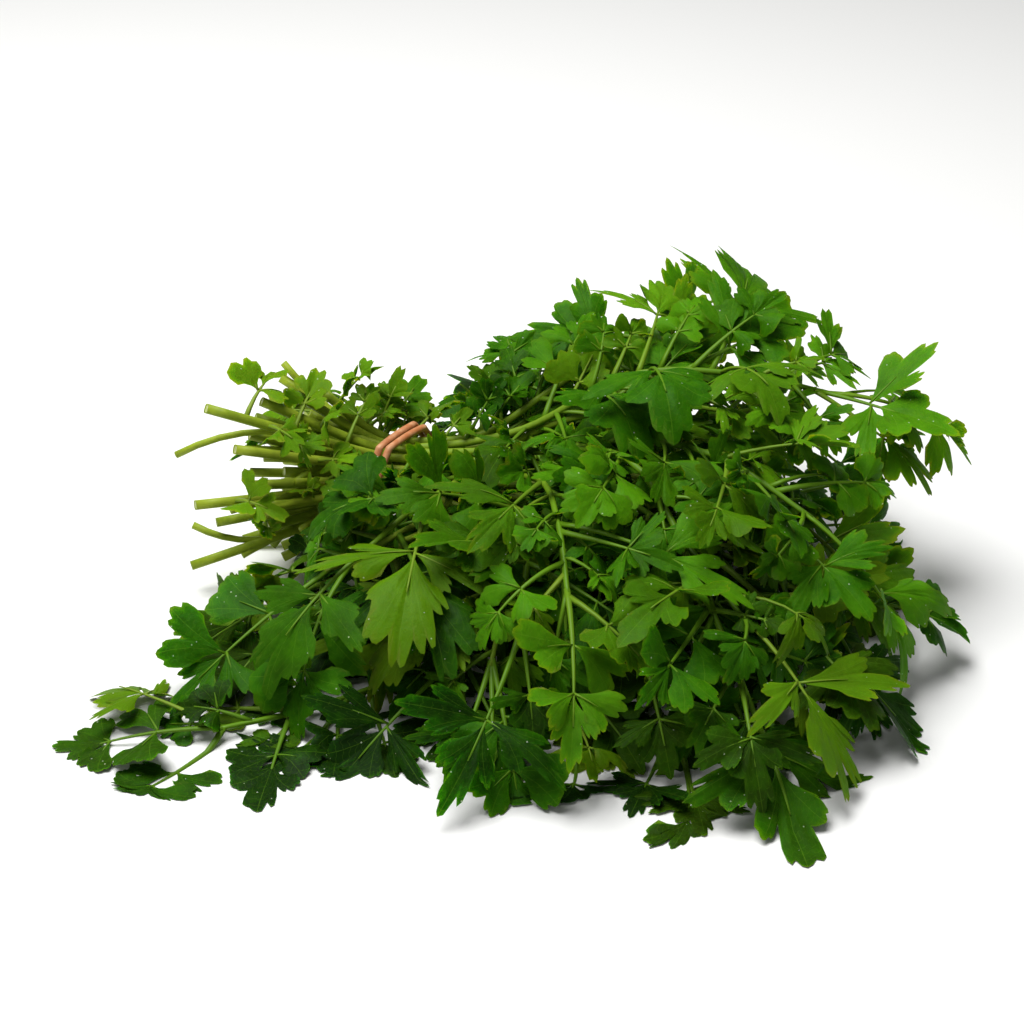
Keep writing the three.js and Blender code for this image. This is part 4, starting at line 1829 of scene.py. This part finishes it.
def new_material(name: str) -> tuple[bpy.types.Material, bpy.types.NodeTree, bpy.types.Node]:
    """A material with only a surface shader.

    Args:
        name: the material's name.

    Returns:
        The material, its nodes and the shader.
    """
    material = bpy.data.materials.new(name)
    material.use_nodes = True
    tree = material.node_tree
    return material, tree, tree.nodes["Principled BSDF"]


@dataclass(frozen=True)
class LeafFinish:
    """One side of a fresh leaf: live green flesh under a thin skin of wax."""

    # Flesh full of water has deep greens, which shift from leaf to leaf and within one and glow
    # where light comes through. Leaves deep in the pile are painted darker, as painted shade. The
    # wax gives it a soft satin sheen that sunk veins and puckers break up, and the drops left from
    # rinsing are painted as pale specks in its colour, a painted glint.
    name: str
    # The darkest green: a random dark tone, and painted shade on leaves deep in the pile.
    dark: str
    middle: str
    light: str
    yellow: str
    vein: str
    vein_share: float
    roughness: float
    # How strongly the pale specks of the drops' painted glint show.
    specks: float
    # The pale colour painted on the drops: a painted glint.
    drop_glint: str = "#dfeccf"
    # Sizes in millimetres. The cells of a leaf are under 0.1 mm wide, too fine to show, so the
    # grain is drawn coarser than they are.
    mottle: float = 9.0
    side_vein_gap: float = 3.2
    pucker: float = 3.8
    grain: float = 0.9
    speck_gap: float = 3.6
    relief_height: float = 0.25
    glow_depth: float = 1.2
    # Half a vein's width as a share of its lobe's, a side vein's as a share of the gap to the
    # next, and a drop's radius as a share of the gap between drops.
    vein_half_width: float = 0.035
    side_vein_width: float = 0.1
    speck_radius: float = 0.06
    mottle_range: float = 0.9
    mottle_start: float = -0.42
    vein_taper: float = 0.8
    side_vein_slant: float = 3.0
    side_vein_share: float = 0.4
    dulling: Range = Range(-0.08, 0.16)
    wet_polish: float = 0.3
    pucker_share: float = 3.0
    vein_depth: float = 0.5
    relief: float = 0.5
    gloss: float = 0.08
    ior: float = 1.42
    glow: float = 0.35
    glow_spread: tuple[float, float, float] = (0.5, 1.0, 0.08)

    def build(self) -> bpy.types.Material:
        """The material, which reads each leaf's place and tone from its mesh.

        Returns:
            The material.
        """
        material, tree, shader = new_material(self.name)
        place = add_node(tree, Kind.ATTRIBUTE, {"attribute_name": "leaf_place"})
        tone = add_node(tree, Kind.ATTRIBUTE, {"attribute_name": "leaf_tone"})
        lightness, yellowness, fading = add_node(
            tree, Kind.SEPARATE, Vector=tone.outputs["Vector"]).outputs
        where = add_node(tree, Kind.COORDINATES).outputs["Object"]
        green = self.green(tree, where, lightness, yellowness)
        veins = self.veins(tree, place.outputs["Vector"])
        vein_share = add_node(tree, Kind.MATH, TIMES, in_0=veins, in_1=self.vein_share)
        veined = add_node(
            tree, Kind.MIX, MIX_COLOURS, in_0=vein_share, in_6=green, in_7=linear(self.vein))

        # Painted glint: pale specks in the base colour stand for the light on the drops left from
        # rinsing.
        drops = add_node(tree, Kind.VORONOI, Vector=where, Scale=per_mm(self.speck_gap))
        speck = add_node(
            tree, Kind.MATH, BELOW, in_0=drops.outputs["Distance"], in_1=self.speck_radius)
        drop_glint = add_node(tree, Kind.MATH, TIMES, in_0=speck, in_1=self.specks)
        add_node(
            tree, Kind.MIX, MIX_COLOURS, shader.inputs["Base Color"], in_0=drop_glint, in_6=veined,
            in_7=linear(self.drop_glint))

        # A satin wax: drier leaves are duller, wet specks shine.
        dry = add_node(
            tree, Kind.MATH, TIMES_PLUS, in_0=fading, in_1=self.dulling.range,
            in_2=self.roughness + self.dulling.least)
        add_node(
            tree, Kind.MATH, TIMES_PLUS, shader.inputs["Roughness"], in_0=drop_glint,
            in_1=-self.wet_polish, in_2=dry)

        # Sunk veins, soft puckers between them and a fine grain break the light up.
        grain = add_node(tree, Kind.NOISE, Vector=where, Scale=per_mm(self.grain), Detail=2.0)
        puckers = add_node(tree, Kind.NOISE, Vector=where, Scale=per_mm(self.pucker), Detail=1.0)
        rough = add_node(
            tree, Kind.MATH, TIMES_PLUS, in_0=puckers, in_1=self.pucker_share, in_2=grain)
        height = add_node(
            tree, Kind.MATH, TIMES_PLUS, in_0=veins, in_1=-self.vein_depth, in_2=rough)
        add_node(
            tree, Kind.BUMP, None, shader.inputs["Normal"], Height=height, Strength=self.relief,
            Distance=self.relief_height * MM)
        shader.inputs["IOR"].default_value = self.ior
        shader.inputs["Specular IOR Level"].default_value = self.gloss
        # The blade is thin enough to glow a little where the light is behind it.
        shader.inputs["Subsurface Weight"].default_value = self.glow
        shader.inputs["Subsurface Radius"].default_value = self.glow_spread
        shader.inputs["Subsurface Scale"].default_value = self.glow_depth * MM
        return material

    def green(
        self,
        tree: bpy.types.NodeTree,
        where: bpy.types.NodeSocket,
        lightness: bpy.types.NodeSocket,
        yellowness: bpy.types.NodeSocket,
    ) -> bpy.types.Node:
        """The flesh's colour, softly mottled where it is thicker and darker.

        Args:
            tree: the material's nodes.
            where: the point in the object's own space.
            lightness: how light the leaf is, with painted shade on leaves deep in the pile.
            yellowness: how yellow it is.

        Returns:
            The node that gives the colour.
        """
        mottle = add_node(
            tree, Kind.NOISE, Vector=where, Scale=per_mm(self.mottle), Detail=3.0, Roughness=0.6)
        mottled = add_node(
            tree, Kind.MATH, TIMES_PLUS, in_0=mottle, in_1=self.mottle_range,
            in_2=self.mottle_start)
        # Painted shade: the leaf's lightness, darker deep in the pile, plus the random mottle.
        shade = add_node(tree, Kind.MATH, in_0=lightness, in_1=mottled)
        lower = add_node(tree, Kind.MAP_RANGE, Value=shade, From_Max=0.5)
        upper = add_node(tree, Kind.MAP_RANGE, Value=shade, From_Min=0.5)
        green = add_node(
            tree, Kind.MIX, MIX_COLOURS, in_0=lower, in_6=linear(self.dark),
            in_7=linear(self.middle))
        green = add_node(
            tree, Kind.MIX, MIX_COLOURS, in_0=upper, in_6=green, in_7=linear(self.light))
        return add_node(
            tree, Kind.MIX, MIX_COLOURS, in_0=yellowness, in_6=green, in_7=linear(self.yellow))

    def veins(
        self, tree: bpy.types.NodeTree, place: bpy.types.NodeSocket
    ) -> bpy.types.Node:
        """The veins: one up the middle of every lobe, and fainter ones that branch from it.

        Args:
            tree: the material's nodes.
            place: the place on a leaflet, in lobes, millimetres and shares.

        Returns:
            The node that gives 1 on a main vein, less on a side vein and 0 beside them.
        """
        lobes, along, share = add_node(tree, Kind.SEPARATE, Vector=place).outputs
        lobe_share = add_node(tree, Kind.MATH, {"operation": "FRACT"}, in_0=lobes)
        from_middle = add_node(
            tree, Kind.MATH, {"operation": "SUBTRACT"}, in_0=lobe_share, in_1=0.5)
        off = add_node(tree, Kind.MATH, {"operation": "ABSOLUTE"}, in_0=from_middle)
        width = add_node(
            tree, Kind.MATH, TIMES_PLUS, in_0=share, in_1=-self.vein_taper * self.vein_half_width,
            in_2=self.vein_half_width)
        main_vein = add_node(tree, Kind.MATH, BELOW, in_0=off, in_1=width)
        steps = add_node(
            tree, Kind.MATH, {"operation": "DIVIDE"}, in_0=along, in_1=self.side_vein_gap)
        slant = add_node(
            tree, Kind.MATH, TIMES_PLUS, in_0=off, in_1=-self.side_vein_slant, in_2=steps)
        rung = add_node(tree, Kind.MATH, {"operation": "FRACT"}, in_0=slant)
        side_vein = add_node(tree, Kind.MATH, BELOW, in_0=rung, in_1=self.side_vein_width)
        fainter = add_node(tree, Kind.MATH, TIMES, in_0=side_vein, in_1=self.side_vein_share)
        return add_node(tree, Kind.MATH, {"operation": "MAXIMUM"}, in_0=main_vein, in_1=fainter)


@dataclass(frozen=True)
class StalkFinish:
    """Fresh stem skin: pale yellow-green at the cut, greener towards the leaves."""

    # The skin is smooth, thin and tight with water, so it has a soft gloss, and the paler flesh
    # shows through it between streaks of darker skin.
    name: str = "stem_skin"
    cut: str = "#9cae2c"
    high: str = "#5c8610"
    shaded: str = "#4d7414"
    aged: str = "#a0ac3c"
    greening: tuple[float, float] = (15.0, 140.0)
    # The strands under the skin are about 0.5 mm apart, too fine to show, so the streaks are
    # drawn coarser.
    streak: float = 1.6
    streak_share: float = 0.6
    aged_share: float = 0.5
    relief: float = 0.2
    relief_height: float = 0.2
    roughness: float = 0.45
    ior: float = 1.4
    gloss: float = 0.25

    def build(self) -> bpy.types.Material:
        """The material, which reads the way from the cut end and the tone from the mesh.

        Returns:
            The material.
        """
        material, tree, shader = new_material(self.name)
        place = add_node(tree, Kind.ATTRIBUTE, {"attribute_name": "leaf_place"})
        tone = add_node(tree, Kind.ATTRIBUTE, {"attribute_name": "leaf_tone"})
        along = add_node(tree, Kind.SEPARATE, Vector=place.outputs["Vector"]).outputs[1]
        lightness, yellowness, _ = add_node(
            tree, Kind.SEPARATE, Vector=tone.outputs["Vector"]).outputs
        where = add_node(tree, Kind.COORDINATES).outputs["Object"]

        # The stem greens away from its cut end. The leaf stalks go on from there.
        greening = add_node(
            tree, Kind.MAP_RANGE, Value=along, From_Min=self.greening[0], From_Max=self.greening[1])
        grown = add_node(
            tree, Kind.MIX, MIX_COLOURS, in_0=greening, in_6=linear(self.cut),
            in_7=linear(self.high))

        # Streaks of darker skin between the ribs.
        streaks = add_node(tree, Kind.NOISE, Vector=where, Scale=per_mm(self.streak), Detail=2.0)
        shade = add_node(tree, Kind.MATH, {"operation": "ADD"}, in_0=streaks, in_1=lightness)
        lit = add_node(
            tree, Kind.MATH, {**TIMES, "use_clamp": True}, in_0=shade, in_1=self.streak_share)
        skin = add_node(tree, Kind.MIX, MIX_COLOURS, in_0=lit, in_6=linear(self.shaded), in_7=grown)
        old = add_node(tree, Kind.MATH, TIMES, in_0=yellowness, in_1=self.aged_share)
        add_node(
            tree, Kind.MIX, MIX_COLOURS, shader.inputs["Base Color"], in_0=old, in_6=skin,
            in_7=linear(self.aged))
        add_node(
            tree, Kind.BUMP, None, shader.inputs["Normal"], Height=streaks, Strength=self.relief,
            Distance=self.relief_height * MM)
        shader.inputs["Roughness"].default_value = self.roughness
        shader.inputs["IOR"].default_value = self.ior
        shader.inputs["Specular IOR Level"].default_value = self.gloss
        return material


@dataclass(frozen=True)
class PithFinish:
    """The pith of a freshly cut stem: spongy and wet."""

    # The cut sponge is paler than the skin round it and shines softly with sap. Its cells are
    # about 0.1 mm wide, too fine to show, so they are drawn coarser.
    name: str = "stem_pith"
    pale: str = "#c6cf8c"
    deep: str = "#9fae5a"
    cell: float = 0.4
    contrast: tuple[float, float] = (0.3, 0.7)
    roughness: float = 0.35
    ior: float = 1.36

    def build(self) -> bpy.types.Material:
        """The material: pale cells in a greener ground.

        Returns:
            The material.
        """
        material, tree, shader = new_material(self.name)
        where = add_node(tree, Kind.COORDINATES).outputs["Object"]
        cells = add_node(tree, Kind.NOISE, Vector=where, Scale=per_mm(self.cell), Detail=2.0)
        shares = add_node(
            tree, Kind.MAP_RANGE, Value=cells, From_Min=self.contrast[0], From_Max=self.contrast[1])
        add_node(
            tree, Kind.MIX, MIX_COLOURS, shader.inputs["Base Color"], in_0=shares,
            in_6=linear(self.deep), in_7=linear(self.pale))
        shader.inputs["Roughness"].default_value = self.roughness
        shader.inputs["IOR"].default_value = self.ior
        return material


@dataclass(frozen=True)
class RubberFinish:
    """Tan latex rubber, cut from an extruded tube and dusted so that it doesn't stick."""

    # Stretched latex is dull. The dust lies on it as a pale, uneven bloom, which makes it look
    # dry. A grain of it is about 0.02 mm, too fine to show, so the grit is drawn coarser.
    name: str = "latex_rubber"
    tan: str = "#bd7444"
    dusty: str = "#d8a478"
    bloom: float = 2.2
    bloom_contrast: tuple[float, float] = (0.35, 0.75)
    grit: float = 0.3
    roughness: Range = Range(0.45, 0.15)
    relief: float = 0.25
    relief_height: float = 0.1
    ior: float = 1.52

    def build(self) -> bpy.types.Material:
        """The material: dull rubber under a dusty bloom.

        Returns:
            The material.
        """
        material, tree, shader = new_material(self.name)
        where = add_node(tree, Kind.COORDINATES).outputs["Object"]
        bloom = add_node(tree, Kind.NOISE, Vector=where, Scale=per_mm(self.bloom), Detail=4.0)
        dusted = add_node(
            tree, Kind.MAP_RANGE, Value=bloom, From_Min=self.bloom_contrast[0],
            From_Max=self.bloom_contrast[1])
        add_node(
            tree, Kind.MIX, MIX_COLOURS, shader.inputs["Base Color"], in_0=dusted,
            in_6=linear(self.tan), in_7=linear(self.dusty))

        # Grit scatters the highlight.
        grit = add_node(tree, Kind.NOISE, Vector=where, Scale=per_mm(self.grit), Detail=1.0)
        add_node(
            tree, Kind.MATH, TIMES_PLUS, shader.inputs["Roughness"], in_0=grit,
            in_1=self.roughness.range, in_2=self.roughness.least)
        add_node(
            tree, Kind.BUMP, None, shader.inputs["Normal"], Height=grit, Strength=self.relief,
            Distance=self.relief_height * MM)
        shader.inputs["IOR"].default_value = self.ior
        return material


@dataclass(frozen=True)
class PaperFinish:
    """Uncoated white paper, for the plain pale floor."""

    # Its open fibres leave it matt, so it takes only the bunch's soft shadow.
    name: str = "pale_floor"
    colour: str = "#f4f4f2"
    roughness: float = 0.9

    def build(self) -> bpy.types.Material:
        """The material: one pale matt colour.

        Returns:
            The material.
        """
        material, _, shader = new_material(self.name)
        shader.inputs["Base Color"].default_value = linear(self.colour)
        shader.inputs["Roughness"].default_value = self.roughness
        return material


# The upper side has the deeper green and the smoother wax, and holds most of the drops,
# whose pale specks are a painted glint.
LEAF_UPPER = LeafFinish(
    "leaf_upper", dark="#0e2a00", middle="#2a5d00", light="#4b8207", yellow="#62850a",
    vein="#6c9c24", vein_share=0.2, roughness=0.58, specks=0.45)
# The underside is paler and more matt, and its veins stand out more.
LEAF_UNDERSIDE = LeafFinish(
    "leaf_underside", dark="#1a3c04", middle="#38660a", light="#507e16", yellow="#6c861c",
    vein="#7ba03c", vein_share=0.3, roughness=0.68, specks=0.1)


# ---- The room ----


@dataclass(frozen=True)
class Lamp:
    """One soft area light."""

    name: str
    place: tuple[float, float, float]
    size: float
    power: float


@dataclass
class Studio:
    """The floor, the lights and the camera."""

    target: Vector = field(default_factory=lambda: Vector((-0.007, 0.0, 0.035)))
    distance: float = 0.62
    elevation: float = 30.0
    lens: float = 75.2
    sensor: float = 36.0
    floor_size: float = 6.0
    lamps: tuple[Lamp, ...] = (
        Lamp("overhead_light", (-0.3, 0.05, 1.1), 0.9, 19.0),
        Lamp("front_light", (-0.6, -1.2, 0.9), 0.8, 1.0),
    )
    sky: float = 0.14

    def build(self) -> None:
        """Makes the room and sets the camera."""
        self.lay_floor()
        for lamp in self.lamps:
            self.hang(lamp)
        self.light_sky()
        self.aim_camera()
        bpy.context.scene.view_settings.view_transform = "Standard"

    def lay_floor(self) -> None:
        """Lays the floor at the height that the bunch rests on."""
        floor = bmesh.new()
        bmesh.ops.create_grid(floor, x_segments=1, y_segments=1, size=self.floor_size / 2)
        data = bpy.data.meshes.new("floor")
        floor.to_mesh(data)
        floor.free()
        data.materials.append(PaperFinish().build())
        item = bpy.data.objects.new("floor", data)
        bpy.context.scene.collection.objects.link(item)

    def hang(self, lamp: Lamp) -> None:
        """Hangs a lamp and turns it to the bunch.

        Args:
            lamp: the lamp.
        """
        light = bpy.data.lights.new(lamp.name, "AREA")
        light.shape = "DISK"
        light.size = lamp.size
        light.energy = lamp.power
        holder = bpy.data.objects.new(lamp.name, light)
        holder.location = lamp.place
        holder.rotation_euler = (self.target - holder.location).to_track_quat(
            "-Z", "Y").to_euler()
        bpy.context.scene.collection.objects.link(holder)

    def light_sky(self) -> None:
        """Fills the room with even white light."""
        world = bpy.data.worlds.new("soft_sky")
        world.use_nodes = True
        background = world.node_tree.nodes["Background"]
        background.inputs["Color"].default_value = (1.0, 1.0, 1.0, 1.0)
        background.inputs["Strength"].default_value = self.sky
        bpy.context.scene.world = world

    def aim_camera(self) -> None:
        """Sets the camera in front of the bunch, looking down on it."""
        lens = bpy.data.cameras.new("camera")
        lens.lens = self.lens
        lens.sensor_width = self.sensor
        camera = bpy.data.objects.new("camera", lens)
        tilt = math.radians(self.elevation)
        away = Vector((0.0, -math.cos(tilt), math.sin(tilt)))
        camera.location = self.target + away * self.distance
        camera.rotation_euler = (-away).to_track_quat("-Z", "Y").to_euler()
        bpy.context.scene.collection.objects.link(camera)
        bpy.context.scene.camera = camera


# ---- The bunch ----


@dataclass
class Bunch:
    """The whole bunch: its leafy stems and its band, each replacing its node."""

    nodes: dict[str, bpy.types.Object]
    growth: Growth = field(default_factory=Growth)
    blades: BladeMaker = field(default_factory=BladeMaker)
    stems: StemMaker = field(default_factory=StemMaker)
    proud: Vector = field(default_factory=lambda: Vector((4.0, 4.0, 3.0)))
    # Where painted shade lies: deep in the pile round its middle, fading out over its rim and with
    # height.
    pile_middle: Vector = field(default_factory=lambda: Vector((24.0, -11.0)))
    pile_radius: float = 85.0
    rim_width: float = 60.0
    rim_openness: float = 0.7
    tie_openness: float = 0.5
    most_open: float = 1.25
    detail_seed: int = 41

    def __post_init__(self) -> None:
        """Finds where the growth rule's origin lies in the frame."""
        self.places = LeafPlaces(self.growth, LeafRule())
        self.band = RubberBand(self.growth)
        low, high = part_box("rubber_band")
        self.shift = (low + high) / 2 / MM - self.band.middle()

    def solids_tree(self) -> BVHTree:
        """The solids of all nodes, in the growth rule's own place.

        Returns:
            One tree of all their faces.
        """
        points: list[Vector] = []
        faces: list[list[int]] = []
        for node in self.nodes.values():
            start = len(points)
            points.extend(vert.co / MM - self.shift for vert in node.data.vertices)
            faces.extend([start + i for i in face.vertices] for face in node.data.polygons)
        return BVHTree.FromPolygons(points, faces)

    def openness(self, leaf: Leaf) -> float:
        """How far a leaf is out of the pile, by its height and its distance from the middle.

        Args:
            leaf: the leaf.

        Returns:
            From 0, deep in the pile, to a little over 1, right out of it.
        """
        # Low leaves near the middle come out near 0 and get the darkest painted shade.
        root = leaf.root
        out = (root.to_2d() - self.pile_middle).length - self.pile_radius
        rim = self.rim_openness * clamp(out / self.rim_width)
        return min(self.tie_openness * root.z / self.growth.tie.z + rim, self.most_open)

    def filling(self) -> Filling:
        """The rule for the leaves between those of the solids.

        Returns:
            The rule, which knows the solids, the box that it may fill and the band's top.
        """
        low, high = box_of([corner for node in self.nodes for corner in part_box(node)])
        low = low / MM - self.shift - self.proud
        high = high / MM - self.shift + self.proud
        low.z = 0.0
        band_low, band_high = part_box("rubber_band")
        band_top = (band_low + band_high) / 2 / MM - self.shift
        band_top.z = band_high.z / MM - self.shift.z
        return Filling(self.places, self.solids_tree(), (low, high), band_top)

    def build(self) -> None:
        """Builds every piece and says which node it replaces."""
        skins = [LEAF_UPPER.build(), LEAF_UNDERSIDE.build(), StalkFinish().build(),
                 PithFinish().build()]
        stems = self.growth.places()
        curves = [self.growth.curve(stem) for stem in stems]
        leaves: list[list[tuple[Leaf, float]]] = []
        for stem, curve in zip(stems, curves):
            node = self.nodes[f"leafy_stem_{stem.number:02d}"]
            found = SolidLeaves(node, self.shift).find(self.places, stem, curve)
            leaves.append([(leaf, 0.0) for leaf in found])
        LOG.info("leaves of the solids: %d", sum(map(len, leaves)))
        for owner, leaf, yellow in self.filling().fill(stems, curves):
            leaves[owner].append((leaf, yellow))

        for stem, curve, own in zip(stems, curves, leaves):
            mesh = PieceMesh(self.shift)
            dice = Dice(self.detail_seed, stem.number)
            self.stems.stem(mesh, self.growth, curve, Tone.drawn(dice), dice)
            for _ in range(self.stems.shoots):
                self.stems.shoot(mesh, curve, self.growth.floor, Tone.drawn(dice), dice)
            for leaf, yellow in own:
                finer = replace(leaf, thickness=self.blades.thickness)
                # The leaf's tone holds painted shade, darker the deeper it lies in the pile.
                tone = Tone.drawn(dice, yellow, self.openness(leaf))
                self.blades.leaf(mesh, finer, tone, dice)
            self.stems.open_pith(mesh, mesh.close())
            node = f"leafy_stem_{stem.number:02d}"
            piece = mesh.piece(f"parsley_stem_{stem.number:02d}", skins)
            self.place(piece, node, "leaf")
        self.place(self.band.build(self.shift, RubberFinish().build()), "rubber_band",
                   "rubber_band")

    def place(self, piece: bpy.types.Object, node: str, slot: str) -> None:
        """Puts a piece in its node's stead.

        Args:
            piece: the piece.
            node: the node that it replaces.
            slot: not used.
        """
        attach(piece, "root")
        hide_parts(node)
        LOG.info("%s replaces %s: %d faces", piece.name, node, len(piece.data.polygons))


def main() -> None:
    """Builds the bunch and the room."""
    logging.basicConfig(level=logging.INFO, format="%(name)s: %(message)s")
    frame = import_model()
    Bunch(frame["nodes"]).build()
    Studio().build()


if __name__ == "__main__":
    main()
